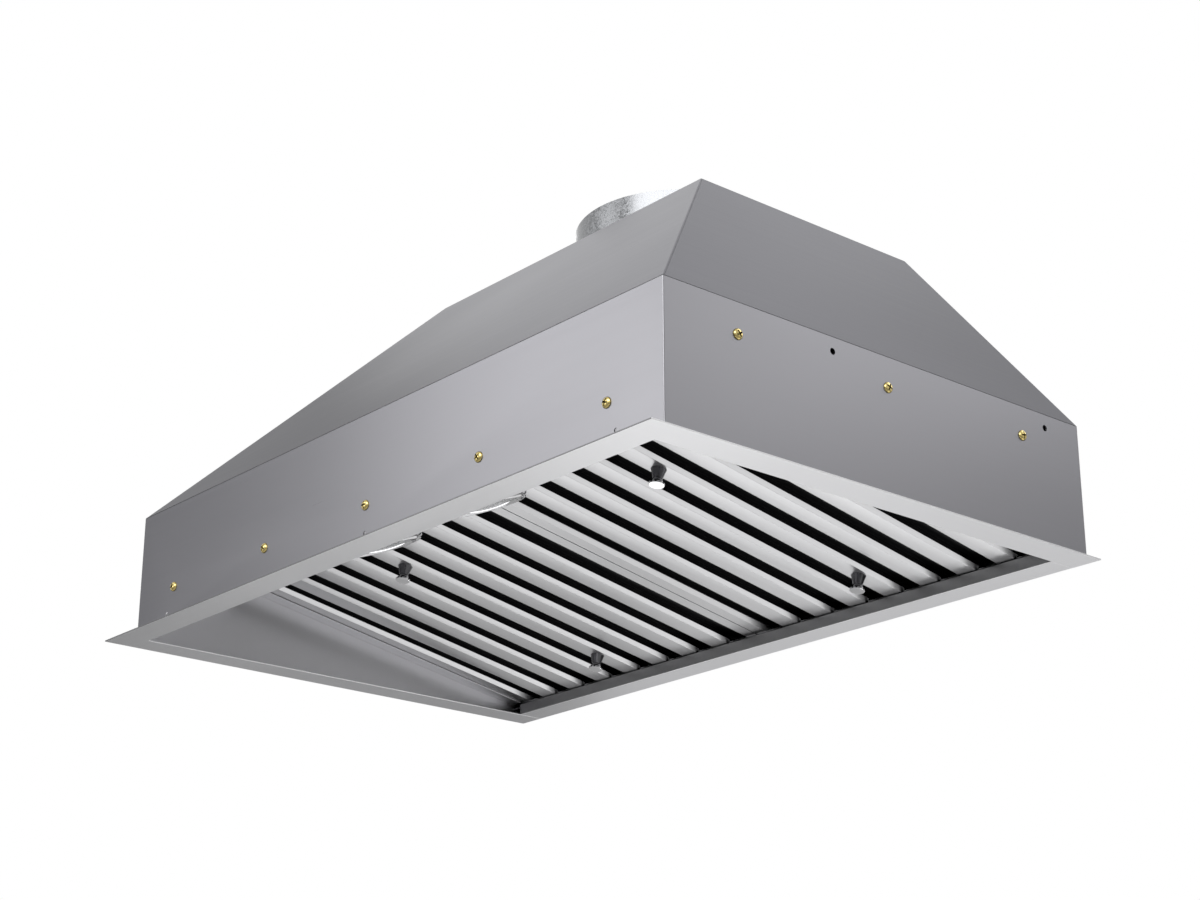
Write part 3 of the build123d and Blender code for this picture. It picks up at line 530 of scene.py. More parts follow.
def line_inner_faces(mesh):
    """Brighter copy of the steel where a face's normal times the level way to the middle is large:
    painted light on the faces that look into the box.
    """
    centres, normals = face_data(mesh)
    level = np.array((1.0, 1.0, 0.0))
    toward_middle = np.sum(-centres * normals * level, axis=1)
    finish_faces(mesh, inner=toward_middle > LOOKS_INWARD)


def edged_copy(node, radius, segments=2, rolled=None, rolled_radius=0.0):
    """Merged copy of a CAD node's mesh, its flat faces joined, with small rounded edges.

    Edges at the joint of the front wall's folded corners stay square, so the corner reads as
    one fold. Lower edges at the X given as rolled take the larger rolled radius.
    """
    mesh = NODES[node].data.copy()
    mesh.name = node + "_dressed"
    work = bmesh.new()
    work.from_mesh(mesh)
    bmesh.ops.remove_doubles(work, verts=work.verts, dist=CAD_MERGE)
    bmesh.ops.dissolve_limit(work, angle_limit=FLAT_ANGLE, verts=work.verts, edges=work.edges)
    weight = work.edges.layers.float.new("bevel_weight_edge")
    for edge in work.edges:
        ends = [vert.co for vert in edge.verts]
        joint = all(
            abs(end.y - CORNER_JOINT_Y) < ON_JOINT and abs(end.x) > CORNER_JOINT_X for end in ends
        )
        bent = not joint and edge.calc_face_angle(0) > BEND_ANGLE
        broad = rolled is not None and all(
            abs(end.x - rolled) < ON_ROLL and end.z < ON_JOINT for end in ends
        )
        edge[weight] = bent * (1.0 if broad or not rolled_radius else radius / rolled_radius)
    work.to_mesh(mesh)
    work.free()
    body = NODES[node]["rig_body"]
    piece = new_piece(node + "_dressed", mesh, NODES[node].data.materials[0], body, node)
    bevel = piece.modifiers.new("Rounded edges", "BEVEL")
    bevel.width = rolled_radius or radius
    bevel.segments = segments
    bevel.limit_method = "WEIGHT"
    bevel.harden_normals = True
    mesh.shade_smooth()
    mesh.set_sharp_from_angle(angle=SHEET_SHARP)
    return piece


def sloped_frame():
    """Matrix of the filter plane: Y runs back down its slope, Z stands up from it."""
    lift = Vector(JOINTS["filter_left_lift"]["axis"]).normalized()
    across = Vector((1, 0, 0))
    back = -lift
    up = across.cross(back)
    turn = Matrix((across, back, up)).transposed().to_4x4()
    return Matrix.Translation((0, 0, FILTER_PLANE_HEIGHT)) @ turn


def panel_frame(point):
    """Matrix on the control panel: Z points out of the panel's face, towards the cook."""
    inward = Vector(JOINTS["button_1_press"]["axis"]).normalized()
    across = Vector((1, 0, 0))
    out = -inward
    along = out.cross(across)
    turn = Matrix((across, along, out)).transposed().to_4x4()
    return Matrix.Translation(point) @ turn


def facing(point, direction):
    """Matrix at a point whose Z runs along a direction."""
    turn = Vector(direction).to_track_quat("Z", "Y").to_matrix().to_4x4()
    return Matrix.Translation(point) @ turn


# ---------------------------------------------------------------- shader groups
def group_of(name, inputs, outputs):
    """A new shader node group with its named sockets."""
    group = bpy.data.node_groups.new(name, "ShaderNodeTree")
    for label, kind, value in inputs:
        socket = group.interface.new_socket(label, in_out="INPUT", socket_type="NodeSocket" + kind)
        if value is not None:
            socket.default_value = value
    for label, kind in outputs:
        group.interface.new_socket(label, in_out="OUTPUT", socket_type="NodeSocket" + kind)
    return group, group.nodes.new("NodeGroupInput"), group.nodes.new("NodeGroupOutput")


def add_node(tree, kind, settings=None, **sockets):
    """Add a shader node; sockets, by label or as n0, n1 and so on, are values or outputs."""
    node = tree.nodes.new("ShaderNode" + kind)
    for key, value in (settings or {}).items():
        setattr(node, key, value)
    for key, value in sockets.items():
        label = key.replace("_", " ")
        numbered = key[0] == "n" and key[1:].isdigit()
        target = node.inputs[int(key[1:]) if numbered else label]
        if isinstance(value, bpy.types.NodeSocket):
            tree.links.new(value, target)
        else:
            target.default_value = value
    return node


def math_node(tree, operation, *values):
    """Add a Math node with its operation and its values in order."""
    return add_node(
        tree,
        "Math",
        {"operation": operation},
        **{"n" + str(at): value for at, value in enumerate(values)},
    )


def finish_outputs(group, given, result, centred, spread, height):
    """Colour times one plus contrast times the pattern, and roughness plus spread times it."""
    shade = math_node(group, "MULTIPLY_ADD", centred.outputs[0], given.outputs["Contrast"], 1.0)
    tint = add_node(
        group,
        "VectorMath",
        {"operation": "SCALE"},
        n0=given.outputs["Colour"],
        Scale=shade.outputs[0],
    )
    rough = math_node(group, "MULTIPLY_ADD", centred.outputs[0], spread, given.outputs["Roughness"])
    group.links.new(tint.outputs[0], result.inputs["Colour"])
    group.links.new(rough.outputs[0], result.inputs["Roughness"])
    group.links.new(height, result.inputs["Height"])
    return group


def satin_group():
    """Fine drawn lines on steel: stretched noise plus 0.6 of a cloudy noise, less their mean."""
    group, given, result = group_of(
        "satin_steel",
        [
            ("Vector", "Vector", None),
            ("Stretch", "Vector", (1.0, 1.0, 1.0)),
            ("Colour", "Color", (0.5, 0.5, 0.5, 1)),
            ("Contrast", "Float", 0.05),
            ("Roughness", "Float", 0.35),
            ("Spread", "Float", 0.06),
        ],
        [("Colour", "Color"), ("Roughness", "Float"), ("Height", "Float")],
    )
    lines_at = add_node(
        group,
        "VectorMath",
        {"operation": "MULTIPLY"},
        n0=given.outputs["Vector"],
        n1=given.outputs["Stretch"],
    )
    lines = add_node(
        group, "TexNoise", Vector=lines_at.outputs[0], Scale=1.0, Detail=4.0, Roughness=0.6
    )
    clouds = add_node(
        group, "TexNoise", Vector=given.outputs["Vector"], Scale=5.0, Detail=2.0, Roughness=0.5
    )
    both = math_node(group, "MULTIPLY_ADD", clouds.outputs["Fac"], 0.6, lines.outputs["Fac"])
    centred = math_node(group, "SUBTRACT", both.outputs[0], 0.8)
    spread, height = given.outputs["Spread"], lines.outputs["Fac"]
    return finish_outputs(group, given, result, centred, spread, height)


def spangle_group():
    """Zinc crystals: each cell of a slightly warped Voronoi pattern has its own grey."""
    group, given, result = group_of(
        "zinc_spangle",
        [
            ("Vector", "Vector", None),
            ("Colour", "Color", (0.5, 0.5, 0.5, 1)),
            ("Cells", "Float", 110.0),
            ("Contrast", "Float", 0.35),
            ("Roughness", "Float", 0.35),
        ],
        [("Colour", "Color"), ("Roughness", "Float"), ("Height", "Float")],
    )
    warp = add_node(group, "TexNoise", Vector=given.outputs["Vector"], Scale=60.0, Detail=2.0)
    pull = add_node(
        group, "VectorMath", {"operation": "SCALE"}, n0=warp.outputs["Color"], Scale=0.001
    )
    place = add_node(
        group, "VectorMath", {"operation": "ADD"}, n0=given.outputs["Vector"], n1=pull.outputs[0]
    )
    cells = add_node(group, "TexVoronoi", Vector=place.outputs[0], Scale=given.outputs["Cells"])
    value = add_node(group, "SeparateColor", Color=cells.outputs["Color"])
    centred = math_node(group, "SUBTRACT", value.outputs[0], 0.5)
    return finish_outputs(group, given, result, centred, 0.22, value.outputs[1])


def speckle_group():
    """Fine even mottling for plastic, rubber and plating: noise less its mean of a half."""
    group, given, result = group_of(
        "fine_mottle",
        [
            ("Vector", "Vector", None),
            ("Colour", "Color", (0.5, 0.5, 0.5, 1)),
            ("Scale", "Float", 900.0),
            ("Contrast", "Float", 0.1),
            ("Roughness", "Float", 0.4),
        ],
        [("Colour", "Color"), ("Roughness", "Float"), ("Height", "Float")],
    )
    grain = add_node(
        group, "TexNoise", Vector=given.outputs["Vector"], Scale=given.outputs["Scale"], Detail=3.0
    )
    centred = math_node(group, "SUBTRACT", grain.outputs["Fac"], 0.5)
    return finish_outputs(group, given, result, centred, 0.15, grain.outputs["Fac"])


GROUPS = {}


def shader_group(name):
    """The named group, built the first time that a material asks for it."""
    makers = {"satin": satin_group, "spangle": spangle_group, "mottle": speckle_group}
    if name not in GROUPS:
        GROUPS[name] = makers[name]()
    return GROUPS[name]


# ---------------------------------------------------------------- materials
def finish_material(
    name, group, metallic=1.0, bump=0.0002, bump_strength=0.15, extras=None, **values
):
    """A material whose colour, gloss and relief come from one group on Object coordinates."""
    material = bpy.data.materials.new(name)
    material.use_nodes = True
    tree = material.node_tree
    shader = tree.nodes["Principled BSDF"]
    place = tree.nodes.new("ShaderNodeTexCoord")
    pattern = tree.nodes.new("ShaderNodeGroup")
    pattern.node_tree = shader_group(group)
    tree.links.new(place.outputs["Object"], pattern.inputs["Vector"])
    for label, value in values.items():
        pattern.inputs[label].default_value = (*value, 1) if label == "Colour" else value
    relief = tree.nodes.new("ShaderNodeBump")
    relief.inputs["Strength"].default_value = bump_strength
    relief.inputs["Distance"].default_value = bump
    tree.links.new(pattern.outputs["Height"], relief.inputs["Height"])
    tree.links.new(pattern.outputs["Colour"], shader.inputs["Base Color"])
    tree.links.new(pattern.outputs["Roughness"], shader.inputs["Roughness"])
    tree.links.new(relief.outputs["Normal"], shader.inputs["Normal"])
    shader.inputs["Metallic"].default_value = metallic
    for label, value in (extras or {}).items():
        shader.inputs[label].default_value = value
    return material


MATERIALS = {}


def satin(key, name, stretch, colour, contrast, roughness, spread=0.08, **further):
    """Drawn steel: how its lines are stretched along X, Y and Z, then its colour and gloss."""
    MATERIALS[key] = finish_material(
        name,
        "satin",
        Stretch=stretch,
        Colour=tuple(colour),
        Contrast=contrast,
        Roughness=roughness,
        Spread=spread,
        bump=SATIN_RELIEF,
        **further,
    )


def mottled(key, name, colour, scale, contrast, roughness, relief, **further):
    """Plated, polished, cast or moulded: colour, grains to the metre, and depth of its relief."""
    MATERIALS[key] = finish_material(
        name,
        "mottle",
        Colour=tuple(colour),
        Scale=scale,
        Contrast=contrast,
        Roughness=roughness,
        bump=relief,
        **further,
    )


def build_materials():
    """Every finish on the object, by name."""
    scene = bpy.context.scene
    shell, filters, fittings = scene.hood_shell, scene.hood_filters, scene.hood_fittings
    grazing = {"extras": {"Specular Tint": (0.45, 0.45, 0.46, 1)}}
    upright, flange, strip = (3.0, 3.0, 900.0), (8.0, 500.0, 500.0), (900.0, 6.0, 6.0)
    satin("wall", "satin_wall", upright, shell.wall_colour, 0.05, shell.wall_roughness, **grazing)
    satin("flange", "satin_flange", flange, shell.flange_colour, 0.05, 0.30, **grazing)
    satin("strip", "satin_strip", strip, filters.strip_colour, 0.14, filters.strip_roughness)
    # Painted shadow: the channels take a near-black copy of the strip steel, for the shade inside
    # the filters.
    satin("channel", "channel_painted_shadow", strip, filters.shadow_colour, 0.2, 0.36, 0.1)
    # Painted light: a brighter copy of the wall steel for faces that look into the box and for the
    # inner panels.
    satin("inner", "inner_painted_lighter", (4.0, 700.0, 700.0), (0.56, 0.558, 0.575), 0.06, 0.36)
    satin("rear_flange", "satin_rear_flange", flange, (0.74, 0.74, 0.747), 0.05, 0.30, **grazing)
    # Painted shade: a darker copy of the flange steel for upright edge and lip faces, standing in
    # for less light on them.
    satin("lip", "lip_painted_darker", flange, (0.40, 0.40, 0.406), 0.05, 0.32)
    # Painted shadow: a dark copy of the flange steel for the flange's edge faces that look along Y,
    # standing in for the line of shade at its edge.
    satin("cut", "edge_painted_shadow", (60.0, 60.0, 900.0), (0.11, 0.11, 0.113), 0.3, 0.40, 0.1)
    zinc = {"Colour": tuple(fittings.zinc_colour)}
    MATERIALS["zinc"] = finish_material(
        "zinc_sheet", "spangle", Cells=560.0, Contrast=0.45, Roughness=0.30, bump=0.00003, **zinc
    )
    MATERIALS["wheel"] = finish_material(
        "zinc_wheel", "spangle", Cells=160.0, Contrast=0.3, Roughness=0.4, **zinc
    )
    mirror, brass = {"bump_strength": 0.02}, fittings.brass_colour
    mottled(
        "chrome", "polished_chrome", fittings.chrome_colour, 300.0, 0.02, 0.06, 0.000005, **mirror
    )
    # Painted reflection: a darker copy of the chrome for the knobs' necks, standing in for dark
    # surroundings that they would reflect.
    mottled(
        "dark_chrome", "chrome_painted_dark_reflection", (0.16, 0.16, 0.168), 300.0, 0.05, 0.10, 0.000005, **mirror
    )
    # Painted shade: a dark brownish copy of the plating for the cross recess, where shade falls.
    mottled("recess", "recess_painted_shade", (0.10, 0.085, 0.03), 700.0, 0.3, 0.35, 0.00003)
    mottled("brass", "yellow_plating", brass, 700.0, 0.3, 0.2, 0.00003)
    mottled("ground", "ground_steel", (0.5, 0.5, 0.5), 900.0, 0.12, 0.35, 0.00002)
    mottled("cast", "cast_alloy", (0.5, 0.5, 0.5), 500.0, 0.2, 0.5, 0.0001)
    bare = {"metallic": 0.0}
    mottled("motor", "black_case", (0.03, 0.03, 0.033), 900.0, 0.3, 0.45, 0.00005, **bare)
    mottled("black", "black_moulding", (0.02, 0.02, 0.022), 1200.0, 0.2, 0.5, 0.00005, **bare)
    mottled("white", "white_moulding", (0.72, 0.72, 0.70), 1200.0, 0.06, 0.5, 0.00004, **bare)
    mottled("rubber", "rubber_bush", (0.02, 0.02, 0.02), 800.0, 0.3, 0.7, 0.00006, **bare)
    lens = {"extras": {"Transmission Weight": 0.85, "IOR": 1.5}, **bare}
    mottled("lens", "frosted_lens", (0.93, 0.94, 0.95), 1500.0, 0.03, 0.28, 0.00003, **lens)


def paint(material, *nodes):
    """Give CAD nodes one finish."""
    for node in nodes:
        mesh = NODES[node].data
        mesh.materials.clear()
        mesh.materials.append(MATERIALS[material])


# ---------------------------------------------------------------- operators
class HOOD_OT_finishes(bpy.types.Operator):
    """Make the finishes and put one on every CAD node"""

    bl_idname = "hood.finishes"
    bl_label = "Finishes"

    def execute(self, context):
        build_materials()
        paint("wall", "front_panel", "left_panel", "right_panel", "rear_panel")
        paint("wall", "canopy_front", "canopy_left", "canopy_right", "canopy_top")
        paint("flange", "trim_frame")
        paint("rear_flange", "trim_rear")
        # The inner panels take the painted light of the inner steel.
        paint("inner", "control_panel", "filler_left", "filler_right")
        paint("zinc", "filter_rail_front", "filter_rail_rear", "duct_collar", "damper_rod")
        paint(
            "zinc",
            "damper_flap_front",
            "damper_flap_rear",
            "lamp_cans",
            "junction_box",
            "junction_cover",
        )
        paint(
            "zinc",
            "blower_wrap",
            "blower_side_left",
            "blower_side_right",
            "inlet_rings",
            "motor_bracket",
        )
        paint("wheel", "fan_disc", "fan_blades", "fan_rings")
        paint("brass", "front_screws", "side_screws", "collar_screws")
        paint("chrome", "lamp_bezels")
        paint("lens", "lamp_lenses")
        paint("white", "led_boards", "lamp_driver", "run_capacitor")
        paint("black", "switch_block")
        paint("motor", "motor_housing")
        paint("cast", "fan_hub")
        paint("ground", "motor_shaft", "button_1", "button_2", "button_3", "button_4")
        paint("rubber", "cable_bushing")
        for side in SIDES:
            paint("strip", "filter_" + side + "_frame", "filter_" + side + "_strips")
            # The channels take the painted shadow.
            paint("channel", "filter_" + side + "_channels")
            paint("chrome", "knob_" + side + "_front", "knob_" + side + "_rear")
            paint("ground", "knob_" + side + "_screws")
        return {"FINISHED"}


class HOOD_OT_filter_strips(bpy.types.Operator):
    """Lower strips of both filters, with rounded bends along their turned-up edges"""

    bl_idname = "hood.filter_strips"
    bl_label = "Filter strips"

    def execute(self, context):
        settings = context.scene.hood_filters
        half_flat, thick = settings.strip_flat / 2, settings.strip_thickness
        tip = half_flat + settings.lip_run
        corners = [
            (-tip, settings.lip_rise), (-half_flat, 0), (half_flat, 0), (tip, settings.lip_rise)
        ]
        section = thickened(rounded_path(corners, settings.bend_radius), thick)
        flat = np.array([(-half_flat, 0), (half_flat, 0), (half_flat, thick), (-half_flat, thick)])
        front, rear, tongue = settings.strip_front, settings.strip_rear, settings.tongue
        placing = sloped_frame()
        for side in SIDES:
            node = "filter_" + side + "_strips"
            low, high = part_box(node)
            centres = np.linspace(low.x + tip, high.x - tip, STRIP_COUNT)
            sections = [section + (x, 0) for x in centres]
            tongues = [flat + (x, 0) for x in centres]
            mesh = carried_mesh(node + "_rounded", sections, front, rear, placing)
            piece = new_piece(
                node + "_rounded",
                mesh,
                MATERIALS["strip"],
                "filter_" + side,
                node,
                slot="filter_steel",
            )
            for place, (start, end) in {
                "front": (front - tongue, front), "rear": (rear, rear + tongue)
            }.items():
                ends = carried_mesh(piece.name + "_" + place, tongues, start, end, placing)
                new_piece(
                    node + "_tongues_" + place,
                    ends,
                    MATERIALS["strip"],
                    "filter_" + side,
                    slot="filter_steel",
                )
        return {"FINISHED"}


class HOOD_OT_sheet_edges(bpy.types.Operator):
    """Rounded edges on the sheet pieces that show"""

    bl_idname = "hood.sheet_edges"
    bl_label = "Sheet edges"

    def execute(self, context):
        radius = context.scene.hood_shell.edge_radius
        for node in ("front_panel", "left_panel", "right_panel", "rear_panel"):
            line_inner_faces(edged_copy(node, radius).data)
        trim = edged_copy("trim_frame", radius, 3, -FLANGE_INNER_X, ROLLED_EDGE).data
        centres, normals = face_data(trim)
        outer = np.abs(centres[:, 0]) > FLANGE_INNER_X + ROLLED_EDGE
        outer &= np.abs(normals[:, 0]) > FACES_AXIS
        # Edge faces looking along Y take the painted shadow, and outer edge faces looking along X
        # take the darker lip copy, painted shade.
        finish_faces(trim, cut=np.abs(normals[:, 1]) > FACES_AXIS, lip=outer)
        lip = edged_copy("trim_rear", radius).data
        # Upright faces of the rear lip take the painted shade.
        finish_faces(lip, lip=np.abs(face_data(lip)[1][:, 2]) < FACES_AXIS)
        for node in ("canopy_front", "canopy_left", "canopy_right", "canopy_top"):
            edged_copy(node, radius)
        for node in ("control_panel", "filler_left", "filler_right"):
            edged_copy(node, radius)
        for side in SIDES:
            edged_copy("filter_" + side + "_frame", radius * FRAME_EDGE_SHARE)
        return {"FINISHED"}


class HOOD_OT_knobs(bpy.types.Operator):
    """Four turned spool knobs under the filters, each with its neck above the disc painted darker:
    a painted dark reflection
    """

    bl_idname = "hood.knobs"
    bl_label = "Knobs"

    def profile(self, settings):
        """Radius falls almost evenly from base to waist, then grows by a power of the drop."""
        base, waist, rim = settings.knob_base, settings.knob_waist, settings.knob_rim
        waist_drop, disc_drop = settings.knob_waist_drop, settings.knob_disc_drop
        length, soft = settings.knob_length, settings.knob_soft_edge
        drop = np.linspace(soft, disc_drop, KNOB_STEPS)
        narrow = np.clip(1 - drop / waist_drop, 0, 1) ** NECK_POWER * (base - waist)
        past_waist = np.clip((drop - waist_drop) / (disc_drop - waist_drop), 0, 1)
        flare = past_waist**FLARE_POWER * (rim - soft - waist)
        spool = np.stack([waist + narrow + flare, -drop], -1)
        start = [(0, 0), (base, 0), (base, -soft * BASE_BAND)]
        disc = [(rim, -disc_drop - soft / 2), (rim, soft - length), (rim - soft, -length)]
        end = [(soft * DISC_RING, -length), (0, -length)]
        return np.concatenate([start, spool, disc, end])

    def execute(self, context):
        settings = context.scene.hood_fittings
        profile = self.profile(settings)
        placing = sloped_frame()
        up = (placing.to_3x3() @ Vector((0, 0, 1))).normalized()
        for side in SIDES:
            for end in ("front", "rear"):
                node = "knob_" + side + "_" + end
                low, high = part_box(node)
                top = (low + high) / 2 + up * (settings.knob_length / 2)
                place = Matrix.Translation(top) @ placing.to_3x3().to_4x4()
                mesh = placed_mesh(node + "_turned", turned_points(profile, KNOB_SEGMENTS), [place])
                mesh.set_sharp_from_angle(angle=TURNED_SHARP)
                new_piece(
                    node + "_turned",
                    mesh,
                    MATERIALS["chrome"],
                    "filter_" + side,
                    node,
                    slot="chrome",
                )
                drop = (np.array(top) - face_data(mesh)[0]) @ np.array(up)
                # Faces above the disc take the darker chrome: a painted dark reflection.
                finish_faces(mesh, dark_chrome=drop < settings.knob_disc_drop)
        return {"FINISHED"}


class HOOD_OT_lamps(bpy.types.Operator):
    """Rounded chrome rims of the two lamps"""

    bl_idname = "hood.lamps"
    bl_label = "Lamp rims"

    def profile(self, settings):
        """Ring section: a quarter circle outside, then a cone down to the lens's lip."""
        radius, proud, crown = settings.rim_radius, settings.rim_proud, settings.rim_crown
        turn = np.linspace(0, math.pi / 2, CROWN_STEPS)
        outer = np.stack(
            [radius - crown + crown * np.cos(turn), proud - crown + crown * np.sin(turn)], -1
        )
        mouth = [(RIM_MOUTH, proud), (RIM_LIP, LIP_DEPTH + LIP_THICK), (RIM_LIP, LIP_DEPTH)]
        seat = [(RIM_SEAT, LIP_DEPTH), (RIM_SEAT, 0)]
        return np.concatenate([[(RIM_SEAT, 0), (radius, 0)], outer, mouth, seat])

    def execute(self, context):
        settings = context.scene.hood_fittings
        low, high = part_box("lamp_bezels")
        middle = (low + high) / 2
        inward = Vector(JOINTS["button_1_press"]["axis"]).normalized()
        span = (high.x - low.x) / 2 - settings.rim_radius
        profile = self.profile(settings)
        face = Vector((0, middle.y, middle.z)) + inward * (settings.rim_proud / 2)
        places = [panel_frame(face + Vector((x, 0, 0))) for x in (-span, span)]
        mesh = placed_mesh("lamp_bezels_turned", turned_points(profile, RIM_SEGMENTS), places)
        mesh.set_sharp_from_angle(angle=TURNED_SHARP)
        new_piece(
            "lamp_bezels_turned", mesh, MATERIALS["chrome"], "hood", "lamp_bezels", slot="chrome"
        )
        return {"FINISHED"}


class HOOD_OT_buttons(bpy.types.Operator):
    """Rounded edges on the four push buttons"""

    bl_idname = "hood.buttons"
    bl_label = "Buttons"

    def execute(self, context):
        for index in range(1, 5):
            edged_copy("button_" + str(index), BUTTON_EDGE, 3)
        return {"FINISHED"}


class HOOD_OT_screws(bpy.types.Operator):
    """Domed screw heads with a cross recess"""

    bl_idname = "hood.screws"
    bl_label = "Screws"

    def head(self, radius, height):
        """Polar height field: a dome less a cross whose arms taper to their floor.

        The dome is the height times the root of one less a power of the radius's share.
        """
        ring = np.linspace(0, 1, HEAD_RINGS)[:, None] * radius
        angle = np.linspace(0, 2 * np.pi, HEAD_SPOKES, endpoint=False)[None]
        x, y = ring * np.cos(angle), ring * np.sin(angle)
        dome = height * np.sqrt(np.clip(1 - (ring / radius) ** DOME_POWER, 0, 1))
        upright = np.abs(x) + np.clip(np.abs(y) - ARM_LENGTH, 0, 1) * ARM_END
        level = np.abs(y) + np.clip(np.abs(x) - ARM_LENGTH, 0, 1) * ARM_END
        cut = np.clip((ARM_HALF - np.minimum(upright, level)) / WALL_RUN, 0, 1) * RECESS_DEPTH
        band = HEAD_BAND * (ring < radius * HEAD_BAND_REACH)
        return np.stack([x, y, np.maximum(dome - cut, band) + 0 * angle], -1)

    def recessed(self, mesh, spots, height):
        """Which faces lie low in a head and near its middle, so that they belong to the cross and
        take its painted shade.
        """
        centres = face_data(mesh)[0]
        low = np.zeros(len(centres), bool)
        for spot in spots:
            local = (centres - np.array(spot.translation)) @ np.array(spot.to_3x3())
            depth = local[:, 2]
            near = np.hypot(local[:, 0], local[:, 1]) < RECESS_REACH
            low |= near & (depth < height * RECESS_SHARE) & (depth > -height)
        return low

    def execute(self, context):
        settings = context.scene.hood_fittings
        radius, height = settings.screw_radius, settings.screw_height
        shape = self.head(radius, height)
        low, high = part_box("front_screws")
        level = (low.z + high.z) / 2
        across = np.linspace(low.x + radius, high.x - radius, FRONT_SCREWS)
        rows = {"front_screws": [facing((x, low.y + height, level), (0, -1, 0)) for x in across]}
        low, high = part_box("side_screws")
        level = (low.z + high.z) / 2
        along = np.linspace(low.y + radius, high.y - radius, SIDE_SCREWS)
        rows["side_screws"] = [
            facing(
                (side * (high.x - height), y, level), (side, 0, 0)
            ) for side in (-1, 1) for y in along
        ]
        low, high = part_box("collar_screws")
        rows["collar_screws"] = [
            facing((x, y, high.z - height), (0, 0, 1))
            for x in (low.x + radius, high.x - radius)
            for y in (low.y + radius, high.y - radius)
        ]
        for node, spots in rows.items():
            turns = [
                Matrix.Rotation(NEXT_TURN * index + FIRST_TURN, 4, "Z")
                for index in range(len(spots))
            ]
            turned = [spot @ turn for spot, turn in zip(spots, turns)]
            mesh = placed_mesh(node + "_heads", shape, turned)
            mesh.set_sharp_from_angle(angle=SCREW_SHARP)
            new_piece(node + "_heads", mesh, MATERIALS["brass"], "hood", node, slot="brass_plated")
            # The cross takes the painted shade of the recess.
            finish_faces(mesh, recess=self.recessed(mesh, turned, height))
        return {"FINISHED"}


class HOOD_OT_collar(bpy.types.Operator):
    """Rounded edges on the duct collar and its damper flaps"""

    bl_idname = "hood.collar"
    bl_label = "Collar"

    def execute(self, context):
        edged_copy("duct_collar", COLLAR_EDGE)
        edged_copy("damper_flap_front", FLAP_EDGE)
        edged_copy("damper_flap_rear", FLAP_EDGE)
        return {"FINISHED"}


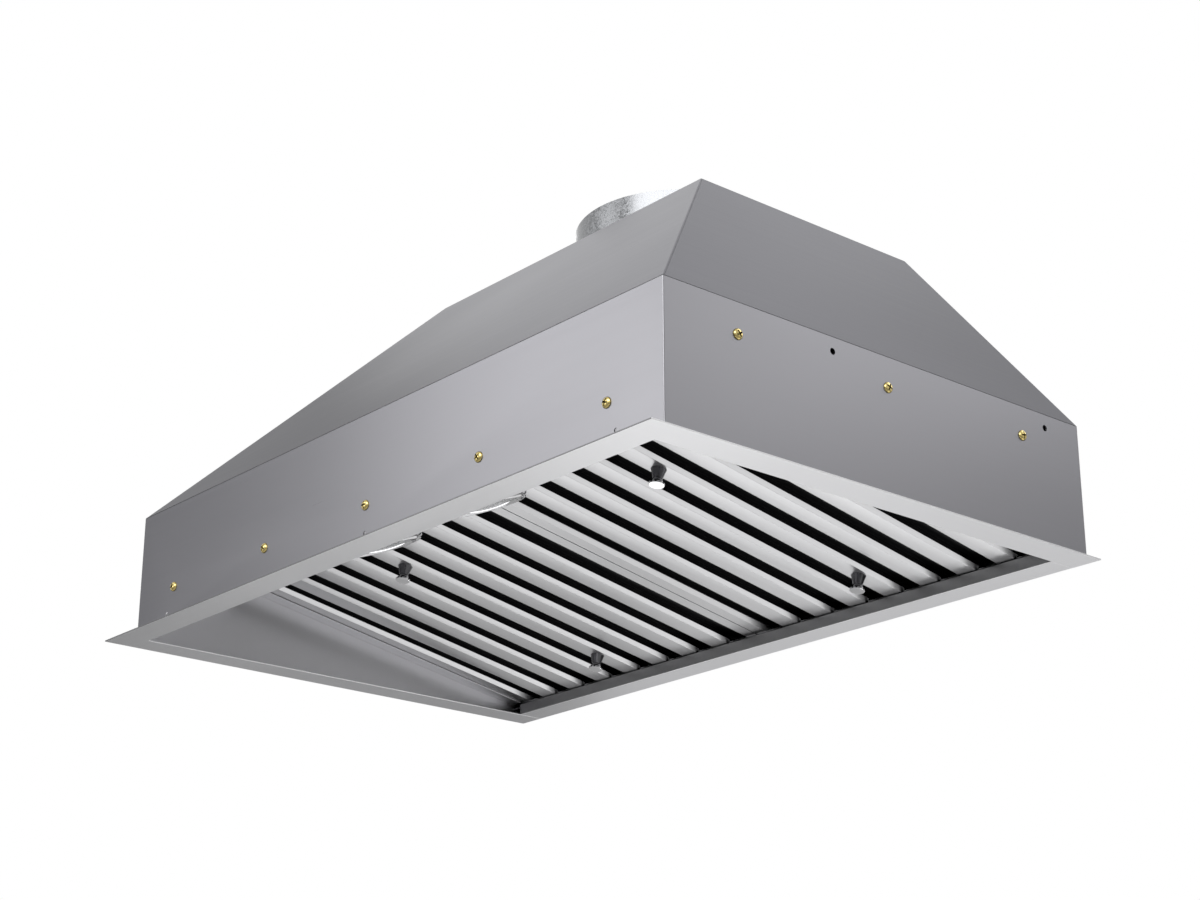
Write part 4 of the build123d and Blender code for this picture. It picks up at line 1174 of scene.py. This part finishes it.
class HOOD_OT_stage(bpy.types.Operator):
    """Camera, soft lights, pale floor and white surround"""

    bl_idname = "hood.stage"
    bl_label = "Stage"

    def camera(self, settings):
        """Camera turned by its yaw and then raised by its pitch, with no roll and no shift."""
        yaw, pitch = settings.camera_yaw, settings.camera_pitch
        ahead = Vector(
            (-math.sin(yaw) * math.cos(pitch), math.cos(yaw) * math.cos(pitch), math.sin(pitch))
        )
        right = Vector((math.cos(yaw), math.sin(yaw), 0))
        turn = Matrix((right, right.cross(ahead), -ahead)).transposed().to_4x4()
        data = bpy.data.cameras.new("camera")
        data.lens = settings.lens
        data.sensor_width = 36.0
        data.clip_end = 60.0
        camera = bpy.data.objects.new("camera", data)
        camera.matrix_world = Matrix.Translation(settings.camera_place) @ turn
        bpy.context.scene.collection.objects.link(camera)
        bpy.context.scene.camera = camera

    def softbox(self, name, place, width, height, strength):
        """Rectangular lamp that faces the hood; at 1 it is as bright as the white surround."""
        data = bpy.data.lights.new(name, "AREA")
        data.shape = "RECTANGLE"
        data.size, data.size_y = width, height
        data.energy = strength * math.pi * width * height
        lamp = bpy.data.objects.new(name, data)
        toward = Vector(HOOD_MIDDLE) - Vector(place)
        turn = toward.to_track_quat("-Z", "Y").to_matrix().to_4x4()
        lamp.matrix_world = Matrix.Translation(place) @ turn
        lamp.visible_camera = False
        bpy.context.scene.collection.objects.link(lamp)

    def world(self, strength):
        """White to the camera, in gloss and through the lenses, and dimmer as diffuse light."""
        world = bpy.data.worlds.new("surround")
        world.use_nodes = True
        tree = world.node_tree
        tree.nodes.clear()
        path = add_node(tree, "LightPath")
        camera, glossy = path.outputs["Is Camera Ray"], path.outputs["Is Glossy Ray"]
        seen = math_node(tree, "MAXIMUM", camera, glossy)
        shown = math_node(tree, "MAXIMUM", seen.outputs[0], path.outputs["Is Transmission Ray"])
        level = math_node(tree, "MULTIPLY_ADD", shown.outputs[0], 1 - strength, strength)
        light = add_node(tree, "Background", Color=(1, 1, 1, 1), Strength=level.outputs[0])
        out = add_node(tree, "OutputWorld")
        tree.links.new(light.outputs[0], out.inputs["Surface"])
        bpy.context.scene.world = world

    def floor(self, drop):
        """Level disc far below the hood: radius and turn on a grid."""
        shape = turned_points([(radius, -drop) for radius in FLOOR_RADII], FLOOR_SEGMENTS)
        mesh = mesh_from("floor", shape, grid_faces(len(FLOOR_RADII), FLOOR_SEGMENTS, True))
        floor = bpy.data.objects.new("floor", mesh)
        bpy.context.scene.collection.objects.link(floor)
        material = finish_material(
            "pale_floor",
            "mottle",
            metallic=0.0,
            Colour=(0.86, 0.86, 0.86),
            Scale=40.0,
            Contrast=0.02,
            Roughness=0.7,
            bump=0.0001,
        )
        mesh.materials.append(material)

    def execute(self, context):
        settings = context.scene.hood_studio
        context.scene.view_settings.view_transform = "Standard"
        self.camera(settings)
        self.world(settings.surround)
        self.floor(settings.floor_drop)
        for name, given in SOFTBOXES.items():
            self.softbox(name, *given)
        return {"FINISHED"}


class HOOD_PT_pieces(bpy.types.Panel):
    """Lists the hood's pieces and settings in the sidebar"""

    bl_label = "Range hood insert"
    bl_space_type = "VIEW_3D"
    bl_region_type = "UI"
    bl_category = "Hood"

    def draw(self, context):
        for operator in OPERATORS:
            self.layout.operator(operator.bl_idname)
        for setting in SETTINGS:
            group = getattr(context.scene, setting)
            for name in group.__annotations__:
                self.layout.prop(group, name)


SETTINGS = {
    "hood_shell": ShellSettings,
    "hood_filters": FilterSettings,
    "hood_fittings": FittingSettings,
    "hood_studio": StudioSettings,
}
OPERATORS = (
    HOOD_OT_finishes,
    HOOD_OT_filter_strips,
    HOOD_OT_sheet_edges,
    HOOD_OT_knobs,
    HOOD_OT_lamps,
    HOOD_OT_buttons,
    HOOD_OT_screws,
    HOOD_OT_collar,
    HOOD_OT_stage,
)


def register():
    for name, group in SETTINGS.items():
        bpy.utils.register_class(group)
        setattr(bpy.types.Scene, name, bpy.props.PointerProperty(type=group))
    for operator in OPERATORS:
        bpy.utils.register_class(operator)
    bpy.utils.register_class(HOOD_PT_pieces)


def unregister():
    bpy.utils.unregister_class(HOOD_PT_pieces)
    for operator in reversed(OPERATORS):
        bpy.utils.unregister_class(operator)
    for name, group in SETTINGS.items():
        delattr(bpy.types.Scene, name)
        bpy.utils.unregister_class(group)


def main():
    register()
    for operator in OPERATORS:
        category, name = operator.bl_idname.split(".")
        if getattr(getattr(bpy.ops, category), name)() != {"FINISHED"}:
            raise RuntimeError(operator.bl_idname + " did not finish")


if __name__ == "__main__":
    main()
